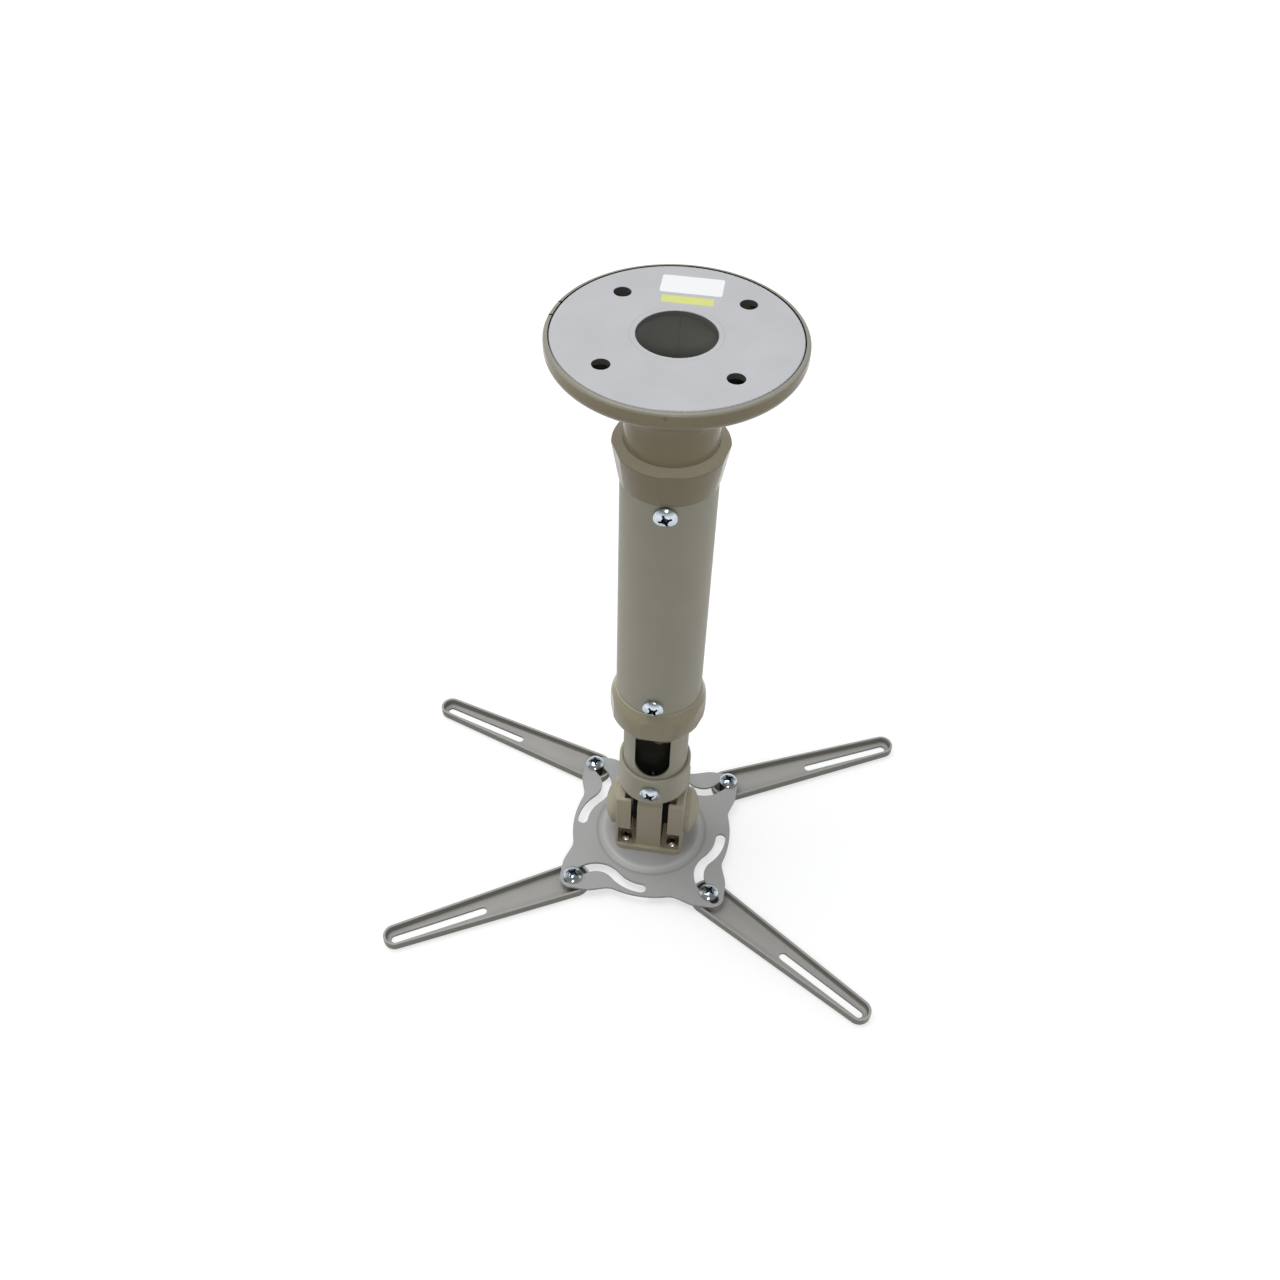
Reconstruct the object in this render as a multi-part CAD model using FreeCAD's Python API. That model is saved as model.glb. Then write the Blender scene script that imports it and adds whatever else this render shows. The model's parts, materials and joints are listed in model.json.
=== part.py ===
"""Ceiling mount for a projector, all lengths in millimetres.

The origin is the centre of the four ceiling holes, on the top face of the ceiling plate.
+Z points up into the ceiling, -Y is the front, where the three clamp screws show.
Everything is stacked downwards from the ceiling face, one piece on the next.
"""
import FreeCAD, Part
import math
import os

V = FreeCAD.Vector
UP = V(0, 0, 1)
ORIGIN = V(0, 0, 0)

# Ceiling plate: a steel disc with four fixing holes and a cable hole
plate_r = 57.5
plate_thick = 3.0
cable_hole_lip = 0.5
fixing_circle_d = 83.5
fixing_hole_r = 4.2
cable_hole_step = 1.8

# Tubes, all on the Z axis. The outer tube and the stub follow from the inner tube and its bush
inner_tube_r = 20.0
inner_tube_wall = 1.8
inner_tube_length = 183.0
outer_tube_wall = 2.0
outer_tube_length = 187.8
stub_fit = 0.45
stub_wall = 2.0
stub_below_screw = 11.5
exposed_length = 39.5

# Window at the foot of the inner tube, where the cables come out
window_width = 21.4
window_height = 45.0
window_above_cup = 1.2
back_hole_r = 3.2

# Canopy: the moulded cover over the ceiling plate
canopy_rim_wall = 2.3
canopy_rim_height = 5.0
canopy_rim_round = 1.6
canopy_turn_r = 6.0
canopy_slope = 34.0
canopy_flare_r = 18.0
canopy_wall = 2.0
canopy_depth = 66.0
canopy_fit = 0.4
canopy_ledge = 1.8
neck_wall = 0.9
neck_stub_fit = 0.15
neck_arch_proud = 0.15
neck_arch_width = 26.0
neck_arch_top = 31.5
neck_arch_angle = -60.6
snap_slit_width = 0.9
snap_slit_depth = 7.0
snap_slit_angles = (164.2, 175.5)

# Collars: two moulded rings with five flats each
collar_flats = 5
collar_fit = 0.05
upper_collar_flat_angle = -82.2
upper_collar_wall = 4.15
upper_collar_foot_wall = 0.55
upper_collar_height = 22.6
upper_collar_lip = 9.0
upper_collar_lean = 2.0
upper_collar_flat_depth = 0.8
neck_fit = 0.1
neck_end_gap = 0.6
lower_collar_flat_angle = -90.0
lower_collar_wall = 3.35
lower_collar_top_wall = 0.65
lower_collar_foot_wall = 3.0
lower_collar_height = 28.5
lower_collar_shoulder = 6.5
lower_collar_waist = 20.4
lower_collar_swell = 0.4
lower_collar_seat = 12.0
lower_collar_flat_depth = 0.8
lower_collar_foot_flat_depth = 1.6
slide_fit = 0.15

# Clamp screws through the outer tube, and the screw through the socket cup
clamp_screw_length = 10.0
height_screw_length = 5.2
socket_screw_length = 16.0
clamp_head_gap = 0.3
height_head_gap = 1.2
upper_screw_angle = -87.0
lower_screw_angle = -90.0
socket_screw_up = 11.9
socket_screw_angle = -90.0
thread_collar_r = 4.4
stub_thread_collar = 1.6
tube_thread_collar = 1.9
screw_touch = 0.05

# Fasteners, as radius, head radius and head height
m6_r, m6_head_r, m6_head_h = 3.0, 6.0, 4.2
m4_r, m4_head_r, m4_head_h = 2.0, 4.0, 3.0
m6_hole_r = 3.3
m4_hole_r = 2.25
head_rim_share = 0.5
head_round_share = 0.35
cross_slot_share = 0.2
cross_reach_share = 0.55
cross_depth_share = 0.6
m6_hex_flats = 10.0
m6_hex_height = 4.0
m6_nut_height = 5.0
m4_nut_flats = 7.0
m4_nut_height = 3.2
m6_washer_r = 6.0
m6_washer_thick = 1.6

# Guide bush: runs in the outer tube and carries the top of the inner tube
bush_height = 14.0
bush_wall = 2.8
bush_fit = 0.1
bush_cap_thick = 2.0
bush_cap_lap = 1.4
bush_bead_up = 3.0
bush_bead_width = 2.0
bush_bead_depth = 0.5
bush_turn_fit = 0.1

# Socket cup and the folded bracket under it
cup_wall = 2.3
cup_height = 23.0
cup_floor = 2.5
cup_fit = 0.1
cup_mouth_bevel = 0.7
bracket_thick = 2.5
bracket_half_width = 10.9
bracket_half_depth = 11.0
bracket_bend_r = 2.9

# Tilt joint
pivot_drop = 31.5
pivot_fit = 0.08
washer_gap = 0.05
friction_washer_r = 8.0
bar_gap = 0.3

# Tilt housing: a base flange, two side blocks and a bar between them
pivot_height = 26.0
flange_half_width = 22.4
flange_half_depth = 20.1
flange_thick = 4.0
flange_corner_r = 6.0
block_half_width = 22.0
block_half_depth = 17.7
block_above_pivot = 25.4
block_round = 1.6
slit_outer = 12.0
bar_above_pivot = 25.0
bar_round = 8.0
side_pocket_r = 9.5
side_pocket_depth = 3.0
hex_pocket_depth = 2.0
hex_pocket_fit = 0.2
housing_screw_x = 15.6
housing_screw_y = 11.5
screw_seat = 2.0
screw_window_height = 18.0
screw_window_outer = 20.2
screw_window_back = 5.2
top_pocket_outer = 16.6
top_pocket_front_wall = 1.8
top_pocket_back = 8.4
top_pocket_depth = 14.0
housing_screw_length = 8.0

# Round caps on the two ends of the tilt bolt
cap_r = 15.0
cap_rim = 3.2
cap_height = 8.6
cap_wall = 1.6
cap_edge_round = 1.6
cap_spigot_wall = 1.2
cap_spigot_fit = 0.1
cap_spigot_gap = 0.4

# Star plate: pressed steel with four curved slots
star_thick = 2.0
boss_rise = 1.6
boss_r = 36.6
boss_slope = 6.0
star_half = 53.9
star_corner_r = 8.0
star_bulge_r = 52.9
star_waist_x = 20.4
star_waist_y = 49.4
star_lobe_start = 34.0
star_waist_blend = 12.0
star_lobe_blend = 18.0
slot_half_width = 3.25
slot_inner_centre = 20.4
slot_inner_r = 26.7
slot_bend_r = 16.2
slot_outer_reach = 67.4

# Arms: pressed steel trays
arm_thick = 1.8
arm_depth = 7.2
arm_wall = 1.6
arm_root_r = 11.5
arm_tip_r = 7.4
arm_slot_start = 59.0
arm_slot_length = 62.6
arm_slot_width = 5.2
arm_tip_margin = 4.6
arm_edge_round = 2.4
arm_inner_round = 1.4
arm_screw_length = 8.0
arm_bush_r = 5.5
arm_bush_spigot_r = 4.2
arm_bush_gap = 0.2
arm_turn_fit = 0.05

# Each arm as it is left in the photo: its screw's distance from the centre, and how far it is
# turned away from its lobe's diagonal
back_left_reach = 66.4
back_left_turn = 27.2
back_right_reach = 66.9
back_right_turn = -18.4
front_right_reach = 62.0
front_right_turn = 12.2
front_left_reach = 64.2
front_left_turn = -15.0

# Heights of the stack, worked out from the ceiling face down
plate_bottom = -plate_thick
neck_bottom = -canopy_depth
outer_top = neck_bottom - neck_end_gap
outer_bottom = outer_top - outer_tube_length
upper_collar_top = outer_top + upper_collar_lip
upper_collar_bottom = upper_collar_top - upper_collar_height
lower_collar_bottom = outer_bottom - lower_collar_seat
lower_collar_top = lower_collar_bottom + lower_collar_height
upper_screw_z = upper_collar_bottom - clamp_head_gap - m6_head_r
lower_screw_z = lower_collar_top + height_head_gap + m6_head_r
stub_bottom = upper_screw_z - stub_below_screw
cup_top = lower_collar_bottom - exposed_length
cup_bottom = cup_top - cup_height
inner_bottom = cup_bottom + cup_floor
inner_top = inner_bottom + inner_tube_length
socket_screw_z = cup_bottom + socket_screw_up
pivot_z = cup_bottom - pivot_drop
flange_bottom = pivot_z - pivot_height
flange_top = flange_bottom + flange_thick
screw_seat_z = flange_bottom + screw_seat
star_top = flange_bottom - boss_rise
star_bottom = star_top - star_thick
floor_z = star_bottom - arm_depth

# Radii that follow from the fits, from the inner tube outwards
inner_bore = inner_tube_r - inner_tube_wall
bush_bore = inner_tube_r + bush_turn_fit
bush_r = bush_bore + bush_wall
outer_bore = bush_r + bush_fit
outer_tube_r = outer_bore + outer_tube_wall
stub_r = outer_bore - stub_fit
stub_bore = stub_r - stub_wall
cable_hole_r = stub_bore - cable_hole_step
cup_bore = inner_tube_r + cup_fit
cup_r = cup_bore + cup_wall
neck_bore = stub_r + neck_stub_fit
neck_r = neck_bore + neck_wall
canopy_bore = plate_r + canopy_fit
canopy_rim_r = canopy_bore + canopy_rim_wall
collar_bore = outer_tube_r + collar_fit
upper_collar_r = collar_bore + upper_collar_wall
upper_collar_foot_r = collar_bore + upper_collar_foot_wall
lower_collar_bore = inner_tube_r + slide_fit
lower_collar_r = collar_bore + lower_collar_wall
lower_collar_top_r = collar_bore + lower_collar_top_wall
lower_collar_foot_r = lower_collar_bore + lower_collar_foot_wall
bar_half_width = bracket_half_width - bracket_thick - bar_gap


def turned(start, steps):
    """Solid of revolution about Z. A step is a point, or a mid point and a point for an arc."""
    edges = []
    here = V(start[0], 0, start[1])
    for step in list(steps) + [(start,)]:
        there = V(step[-1][0], 0, step[-1][1])
        if len(step) == 2:
            edges.append(Part.Arc(here, V(step[0][0], 0, step[0][1]), there).toShape())
        elif (there - here).Length > 1e-9:
            edges.append(Part.LineSegment(here, there).toShape())
        here = there
    face = Part.Face(Part.Wire(edges))
    return face.revolve(ORIGIN, UP, 360)


def ring(r_out, r_in, z_low, z_high):
    """Plain round tube between two heights."""
    height = z_high - z_low
    outer = Part.makeCylinder(r_out, height, V(0, 0, z_low))
    return outer.cut(Part.makeCylinder(r_in, height, V(0, 0, z_low)))


def polar(r, degrees, z=0.0):
    a = math.radians(degrees)
    return V(r * math.cos(a), r * math.sin(a), z)


def turn(shape, degrees):
    """Copy of a shape turned about the Z axis."""
    copy = shape.copy()
    copy.rotate(ORIGIN, UP, degrees)
    return copy


def block(x0, x1, y0, y1, z0, z1):
    return Part.makeBox(x1 - x0, y1 - y0, z1 - z0, V(x0, y0, z0))


def radial_hole(r, r_from, r_to, degrees, z):
    """Cylinder that points outwards from the Z axis, for a hole or a shank."""
    return Part.makeCylinder(r, r_to - r_from, polar(r_from, degrees, z), polar(1, degrees))


def vertical_edges(shape, wanted):
    """Upright edges of a shape whose plan position is one of the wanted points."""
    found = []
    for edge in shape.Edges:
        box = edge.BoundBox
        if box.XLength < 1e-6 and box.YLength < 1e-6 and box.ZLength > 1e-6:
            for x, y in wanted:
                if abs(box.XMin - x) < 1e-3 and abs(box.YMin - y) < 1e-3:
                    found.append(edge)
    return found


def hexagon(flats, height, z_low):
    """Upright hexagonal prism, with two of its flats facing along X."""
    corner = flats / math.sqrt(3)
    points = [polar(corner, 30 + 60 * k, z_low) for k in range(7)]
    return Part.Face(Part.makePolygon(points)).extrude(V(0, 0, height))


def domed_disc(r, rim, height, edge_round):
    """Disc with a domed top: straight up to the rim, then a round edge and a shallow dome."""
    rise = height - rim
    dome_r = (r * r + rise * rise) / (2 * rise)
    half = math.asin(r / dome_r) / 2
    mid = (dome_r * math.sin(half), height - dome_r * (1 - math.cos(half)))
    disc = turned((0, 0), [((r, 0),), ((r, rim),), (mid, (0, height))])
    edges = [e for e in disc.Edges if e.BoundBox.ZLength < 1e-6 and abs(e.BoundBox.ZMin - rim) < 1e-6]
    return disc.makeFillet(edge_round, edges)


def pan_screw(r, head_r, head_h, length):
    """Cross-recessed pan head screw: the head's underside at z 0, the shank below it."""
    head = domed_disc(head_r, head_h * head_rim_share, head_h, head_h * head_round_share)
    tip = r * 0.25
    shank = turned((0, 0), [((r, 0),), ((r, tip - length),), ((r - tip, -length),), ((0, -length),)])
    reach = head_r * cross_reach_share
    half = head_r * cross_slot_share / 2
    depth = head_h * cross_depth_share
    cross = block(-reach, reach, -half, half, head_h - depth, head_h)
    cross = cross.fuse(block(-half, half, -reach, reach, head_h - depth, head_h))
    return head.fuse(shank).removeSplitter().cut(cross)


def side_screw(screw, r_seat, degrees, z):
    """Lay a screw so that it points at the Z axis, with its head seated at a radius."""
    placed = screw.copy()
    placed.rotate(ORIGIN, V(0, 1, 0), 90)
    placed.translate(V(r_seat, 0, z))
    return turn(placed, degrees)


def ceiling_plate():
    hole_r = cable_hole_r
    lip = cable_hole_lip
    corner = 0.8
    diagonal = math.sqrt(0.5)
    plate = turned((hole_r, plate_bottom), [
        ((plate_r, plate_bottom),),
        ((plate_r, -corner),),
        ((plate_r - corner * (1 - diagonal), -corner * (1 - diagonal)), (plate_r - corner, 0)),
        ((hole_r + lip, 0),),
        ((hole_r + lip * (1 - diagonal), -lip * (1 - diagonal)), (hole_r, -lip)),
    ])
    for k in range(4):
        place = polar(fixing_circle_d / 2, 45 + 90 * k, plate_bottom)
        plate = plate.cut(Part.makeCylinder(fixing_hole_r, plate_thick, place))
    return plate


def stub_tube():
    """Tube welded under the ceiling plate, with a drawn thread for the upper screw."""
    tube = ring(stub_r, stub_bore, stub_bottom, plate_bottom)
    drawn = radial_hole(thread_collar_r, stub_bore - stub_thread_collar, stub_bore + stub_wall / 2,
                        upper_screw_angle, upper_screw_z)
    tube = tube.fuse(drawn).removeSplitter()
    return tube.cut(radial_hole(m6_r, 0, stub_r + 1, upper_screw_angle, upper_screw_z))


def bowl_profile(offset):
    """Key points of the bowl's side: end of the rim's turn, then the corner where the
    sloping line meets the neck. The offset moves the line inwards for the wall."""
    slope = math.radians(canopy_slope)
    radius = canopy_turn_r - offset
    centre = (canopy_rim_r - canopy_turn_r, -canopy_rim_height)
    mid_turn = math.radians(90 - canopy_slope) / 2
    turn_mid = (centre[0] + radius * math.cos(mid_turn), centre[1] - radius * math.sin(mid_turn))
    turn_end = (centre[0] + radius * math.sin(slope), centre[1] - radius * math.cos(slope))
    return turn_mid, turn_end, slope


def ceiling_canopy():
    """Bowl that narrows to a neck. Its rim holds the edge of the ceiling plate."""
    turn_mid, turn_end, slope = bowl_profile(0)
    in_mid, in_end, slope = bowl_profile(canopy_wall)
    bead = canopy_rim_round
    corner = (neck_r, turn_end[1] - (turn_end[0] - neck_r) * math.tan(slope))
    in_corner = (neck_bore, in_end[1] - (in_end[0] - neck_bore) * math.tan(slope))
    reach = canopy_flare_r * math.tan(math.radians(90 - canopy_slope) / 2)
    flare_start = (corner[0] + reach * math.cos(slope), corner[1] + reach * math.sin(slope))
    flare_end = (neck_r, corner[1] - reach)
    flare_centre = (neck_r + canopy_flare_r, flare_end[1])
    half_turn = math.radians(90 - canopy_slope) / 2
    flare_mid = (flare_centre[0] - canopy_flare_r * math.cos(half_turn),
                 flare_centre[1] + canopy_flare_r * math.sin(half_turn))
    diagonal = math.sqrt(0.5)
    body = turned((canopy_bore, 0), [
        ((canopy_rim_r - bead, 0),),
        ((canopy_rim_r - bead * (1 - diagonal), -bead * (1 - diagonal)), (canopy_rim_r, -bead)),
        ((canopy_rim_r, -canopy_rim_height),),
        (turn_mid, turn_end),
        (flare_start,),
        (flare_mid, flare_end),
        ((neck_r, neck_bottom),),
        ((neck_bore, neck_bottom),),
        (in_corner,),
        (in_end,),
        (in_mid, (canopy_rim_r - canopy_wall, -canopy_rim_height)),
        ((canopy_bore - canopy_ledge, -canopy_rim_height),),
        ((canopy_bore - canopy_ledge, plate_bottom),),
        ((canopy_bore, plate_bottom),),
    ])
    half = neck_arch_width / 2
    for k in range(collar_flats):
        arch = block(neck_r + neck_arch_proud, canopy_rim_r, -half, half, neck_bottom, -neck_arch_top)
        body = body.cut(turn(arch, neck_arch_angle + 360.0 / collar_flats * k))
    for angle in snap_slit_angles:
        half_slit = snap_slit_width / 2
        slit = block(canopy_bore - canopy_ledge - 1, canopy_rim_r + 1, -half_slit, half_slit,
                     -snap_slit_depth, 1)
        body = body.cut(turn(slit, angle))
    return body


def cut_flats(body, points, first_angle):
    """Cut the five flats of a collar. The points are radius and height down the flat."""
    outside = 2 * upper_collar_r
    profile = [V(outside, 0, points[0][1])] + [V(r, 0, z) for r, z in points]
    profile += [V(outside, 0, points[-1][1]), V(outside, 0, points[0][1])]
    cutter = Part.Face(Part.makePolygon(profile)).extrude(V(0, 2 * outside, 0))
    cutter.translate(V(0, -outside, 0))
    for k in range(collar_flats):
        body = body.cut(turn(cutter, first_angle + 360.0 / collar_flats * k))
    return body


def upper_collar():
    """Ring over the top of the outer tube. Its lip rests on the tube's end and leans outwards."""
    edge = 0.8
    diagonal = math.sqrt(0.5)
    bore = collar_bore
    lip_bore = neck_r + neck_fit
    lip_edge = upper_collar_top - upper_collar_lean
    body = turned((lip_bore, upper_collar_top), [
        ((upper_collar_r - edge, lip_edge),),
        ((upper_collar_r - edge * (1 - diagonal), lip_edge - edge * (1 - diagonal)),
         (upper_collar_r, lip_edge - edge)),
        ((upper_collar_foot_r, upper_collar_bottom),),
        ((bore, upper_collar_bottom),),
        ((bore, outer_top),),
        ((lip_bore, outer_top),),
    ])
    top_flat = upper_collar_r - upper_collar_flat_depth
    margin = 0.2
    return cut_flats(body, [(top_flat, upper_collar_top + 1),
                            (top_flat, lip_edge),
                            (upper_collar_foot_r - margin, upper_collar_bottom)],
                     upper_collar_flat_angle)


def outer_tube():
    tube = ring(outer_tube_r, outer_bore, outer_bottom, outer_top)
    drawn = radial_hole(thread_collar_r, outer_bore - tube_thread_collar,
                        outer_bore + outer_tube_wall / 2, lower_screw_angle, lower_screw_z)
    tube = tube.fuse(drawn).removeSplitter()
    tube = tube.cut(radial_hole(m6_hole_r, 0, outer_tube_r + 1, upper_screw_angle, upper_screw_z))
    return tube.cut(radial_hole(m6_r, 0, outer_tube_r + 1, lower_screw_angle, lower_screw_z))


def lower_collar():
    """Ring over the foot of the outer tube, bored to guide the inner tube. Its side swells a
    little between shoulder and waist, and tapers below."""
    bore = collar_bore
    guide = lower_collar_bore
    side_r = lower_collar_r - lower_collar_swell
    shoulder = (side_r, lower_collar_top - lower_collar_shoulder)
    waist = (side_r, lower_collar_top - lower_collar_waist)
    middle = (lower_collar_r, (shoulder[1] + waist[1]) / 2)
    body = turned((bore, lower_collar_top), [
        ((lower_collar_top_r, lower_collar_top),),
        (shoulder,),
        (middle, waist),
        ((lower_collar_foot_r, lower_collar_bottom),),
        ((guide, lower_collar_bottom),),
        ((guide, outer_bottom),),
        ((bore, outer_bottom),),
    ])
    flat_r = lower_collar_r - lower_collar_flat_depth
    foot_flat_r = lower_collar_foot_r - lower_collar_foot_flat_depth
    return cut_flats(body, [(flat_r, lower_collar_top),
                            (flat_r, waist[1]),
                            (foot_flat_r, lower_collar_bottom),
                            (foot_flat_r, lower_collar_bottom - 1)],
                     lower_collar_flat_angle)


def clamp_screws():
    """Upper screw into the stub tube, and the height screw that presses the inner tube."""
    fixed = pan_screw(m6_r, m6_head_r, m6_head_h, clamp_screw_length)
    press = pan_screw(m6_r, m6_head_r, m6_head_h, height_screw_length)
    press_seat = inner_tube_r + screw_touch + height_screw_length
    return {
        "upper_clamp_screw": side_screw(fixed, outer_tube_r, upper_screw_angle, upper_screw_z),
        "lower_clamp_screw": side_screw(press, press_seat, lower_screw_angle, lower_screw_z),
    }


def guide_bush():
    """Moulded bush on the head of the inner tube, kept on it by a bead in a groove."""
    top = inner_top + bush_turn_fit + bush_cap_thick
    bore = bush_bore
    low = top - bush_height
    cap_bore = inner_tube_r - bush_cap_lap
    body = turned((cap_bore, top), [
        ((bush_r, top),),
        ((bush_r, low),),
        ((bore, low),),
        ((bore, inner_top + bush_turn_fit),),
        ((cap_bore, inner_top + bush_turn_fit),),
    ])
    bead_low = low + bush_bead_up
    bead = ring(bore + bush_bead_depth, bore - bush_bead_depth, bead_low, bead_low + bush_bead_width)
    return body.fuse(bead).removeSplitter()


def inner_tube():
    tube = ring(inner_tube_r, inner_bore, inner_bottom, inner_top)
    bush_low = inner_top + bush_turn_fit + bush_cap_thick - bush_height
    groove_low = bush_low + bush_bead_up - bush_turn_fit
    groove_r = inner_tube_r - bush_bead_depth
    groove = ring(inner_tube_r + 1, groove_r, groove_low,
                  groove_low + bush_bead_width + 2 * bush_turn_fit)
    tube = tube.cut(groove)
    half = window_width / 2
    low = cup_top + window_above_cup
    window = radial_hole(half, inner_bore / 2, inner_tube_r + 1, socket_screw_angle, low + half)
    window = window.fuse(radial_hole(half, inner_bore / 2, inner_tube_r + 1, socket_screw_angle,
                                     low + window_height - half))
    middle = block(inner_bore / 2, inner_tube_r + 1, -half, half,
                   low + half, low + window_height - half)
    window = window.fuse(turn(middle, socket_screw_angle)).removeSplitter()
    tube = tube.cut(window)
    tube = tube.cut(radial_hole(m6_hole_r, 0, inner_tube_r + 1, socket_screw_angle, socket_screw_z))
    return tube.cut(radial_hole(back_hole_r, 0, inner_tube_r + 1,
                                socket_screw_angle + 180, socket_screw_z))


def socket_cup():
    edge = 0.5
    body = turned((0, cup_bottom), [
        ((cup_r - edge, cup_bottom),),
        ((cup_r, cup_bottom + edge),),
        ((cup_r, cup_top - edge),),
        ((cup_r - edge, cup_top),),
        ((cup_bore + cup_mouth_bevel, cup_top),),
        ((cup_bore, cup_top - cup_mouth_bevel),),
        ((cup_bore, inner_bottom),),
        ((0, inner_bottom),),
    ])
    return body.cut(radial_hole(m6_r, 0, cup_r + 1, socket_screw_angle, socket_screw_z))


def socket_screw():
    screw = pan_screw(m6_r, m6_head_r, m6_head_h, socket_screw_length)
    return side_screw(screw, cup_r, socket_screw_angle, socket_screw_z)


def tilt_bracket():
    """Strip folded into an upside-down U and welded under the cup. Its legs hold the bolt."""
    wide = bracket_half_width
    deep = bracket_half_depth
    strip = block(-wide, wide, -deep, deep, pivot_z, cup_bottom)
    tops = [e for e in strip.Edges if abs(e.BoundBox.ZMin - cup_bottom) < 1e-6
            and e.BoundBox.XLength < 1e-6]
    strip = strip.makeFillet(bracket_bend_r, tops)
    inside = wide - bracket_thick
    ends = Part.makeCylinder(deep, 2 * wide, V(-wide, 0, pivot_z), V(1, 0, 0))
    strip = strip.fuse(ends).removeSplitter()
    gap = block(-inside, inside, -deep - 1, deep + 1, pivot_z - deep - 1, cup_bottom - bracket_thick)
    strip = strip.cut(gap)
    return strip.cut(Part.makeCylinder(m6_r + pivot_fit, 2 * wide, V(-wide, 0, pivot_z), V(1, 0, 0)))


def along_x(shape, x):
    """Lay a piece that was made along Z on the tilt axis, with its foot at x and its top to +X."""
    placed = shape.copy()
    placed.rotate(ORIGIN, V(0, 1, 0), 90)
    placed.translate(V(x, 0, pivot_z))
    return placed


def tilt_fasteners():
    """Bolt, washer and nut of the tilt joint, with a friction washer outside each leg."""
    head_x = -(block_half_width - side_pocket_depth - hex_pocket_depth)
    washer_x = block_half_width - side_pocket_depth
    nut_x = washer_x + m6_washer_thick
    end_x = nut_x + m6_nut_height + 1.0
    head = along_x(hexagon(m6_hex_flats, m6_hex_height, -m6_hex_height), head_x)
    shank = along_x(Part.makeCylinder(m6_r, end_x - head_x), head_x)
    washer = ring(m6_washer_r, m6_r + 0.2, 0, m6_washer_thick)
    nut = hexagon(m6_hex_flats, m6_nut_height, 0).cut(Part.makeCylinder(m6_r, m6_nut_height))
    thin = slit_outer - bracket_half_width - 2 * washer_gap
    friction = ring(friction_washer_r, m6_r + pivot_fit, 0, thin)
    return {
        "tilt_bolt": head.fuse(shank).removeSplitter(),
        "tilt_washer": along_x(washer, washer_x),
        "tilt_nut": along_x(nut, nut_x),
        "friction_washer_left": along_x(friction, -slit_outer + washer_gap),
        "friction_washer_right": along_x(friction, slit_outer - washer_gap - thin),
    }


def tilt_housing():
    """Moulded block on a flange. Two slits let the bracket's legs in."""
    flange = block(-flange_half_width, flange_half_width, -flange_half_depth, flange_half_depth,
                   flange_bottom, flange_top)
    corners = [(sx * flange_half_width, sy * flange_half_depth) for sx in (-1, 1) for sy in (-1, 1)]
    flange = flange.makeFillet(flange_corner_r, vertical_edges(flange, corners))
    top = pivot_z + block_above_pivot
    body = block(-block_half_width, block_half_width, -block_half_depth, block_half_depth,
                 flange_bottom, top)
    corners = [(sx * block_half_width, sy * block_half_depth) for sx in (-1, 1) for sy in (-1, 1)]
    body = body.makeFillet(block_round, vertical_edges(body, corners))
    rim = [e for e in body.Edges if abs(e.BoundBox.ZMin - top) < 1e-6]
    body = body.makeFillet(block_round, rim)

    inside = bar_half_width
    bar_top = pivot_z + bar_above_pivot
    slit = block(inside, slit_outer, -flange_half_depth, flange_half_depth, flange_top, top + 1)
    body = body.cut(slit).cut(slit.mirror(ORIGIN, V(1, 0, 0)))
    keep = block(-inside, inside, -block_half_depth, block_half_depth, flange_bottom, bar_top)
    ridge = [e for e in keep.Edges if abs(e.BoundBox.ZMin - bar_top) < 1e-6
             and e.BoundBox.YLength < 1e-6]
    keep = keep.makeFillet(bar_round, ridge)
    middle = block(-inside, inside, -flange_half_depth, flange_half_depth, flange_bottom, top + 1)
    body = body.cut(middle.cut(keep))
    body = body.fuse(flange).removeSplitter()

    bolt_hole = Part.makeCylinder(m6_r + pivot_fit / 2, 2 * block_half_width,
                                  V(-block_half_width, 0, pivot_z), V(1, 0, 0))
    body = body.cut(bolt_hole)
    pocket = Part.makeCylinder(side_pocket_r, side_pocket_depth)
    body = body.cut(along_x(pocket, block_half_width - side_pocket_depth))
    body = body.cut(along_x(pocket, -block_half_width))
    hex_pocket = hexagon(m6_hex_flats + hex_pocket_fit, hex_pocket_depth, 0)
    body = body.cut(along_x(hex_pocket, -(block_half_width - side_pocket_depth)))

    for sx in (-1, 1):
        for sy in (-1, 1):
            x, y = sx * housing_screw_x, sy * housing_screw_y
            x_pair = sorted((sx * (inside + 1), sx * screw_window_outer))
            y_pair = sorted((sy * screw_window_back, sy * block_half_depth))
            window = block(x_pair[0], x_pair[1], y_pair[0], y_pair[1],
                           screw_seat_z, screw_seat_z + screw_window_height)
            keep_bar = block(-inside, inside, -flange_half_depth, flange_half_depth,
                             flange_bottom, bar_top)
            body = body.cut(window.cut(keep_bar))
            y_pair = sorted((sy * top_pocket_back, sy * (block_half_depth - top_pocket_front_wall)))
            x_pair = sorted((sx * (inside + 1), sx * top_pocket_outer))
            opening = block(x_pair[0], x_pair[1], y_pair[0], y_pair[1], top - top_pocket_depth, top + 1)
            body = body.cut(opening.cut(keep_bar))
            body = body.cut(Part.makeCylinder(m4_hole_r, screw_seat * 2, V(x, y, flange_bottom - 1)))
    return body


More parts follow.
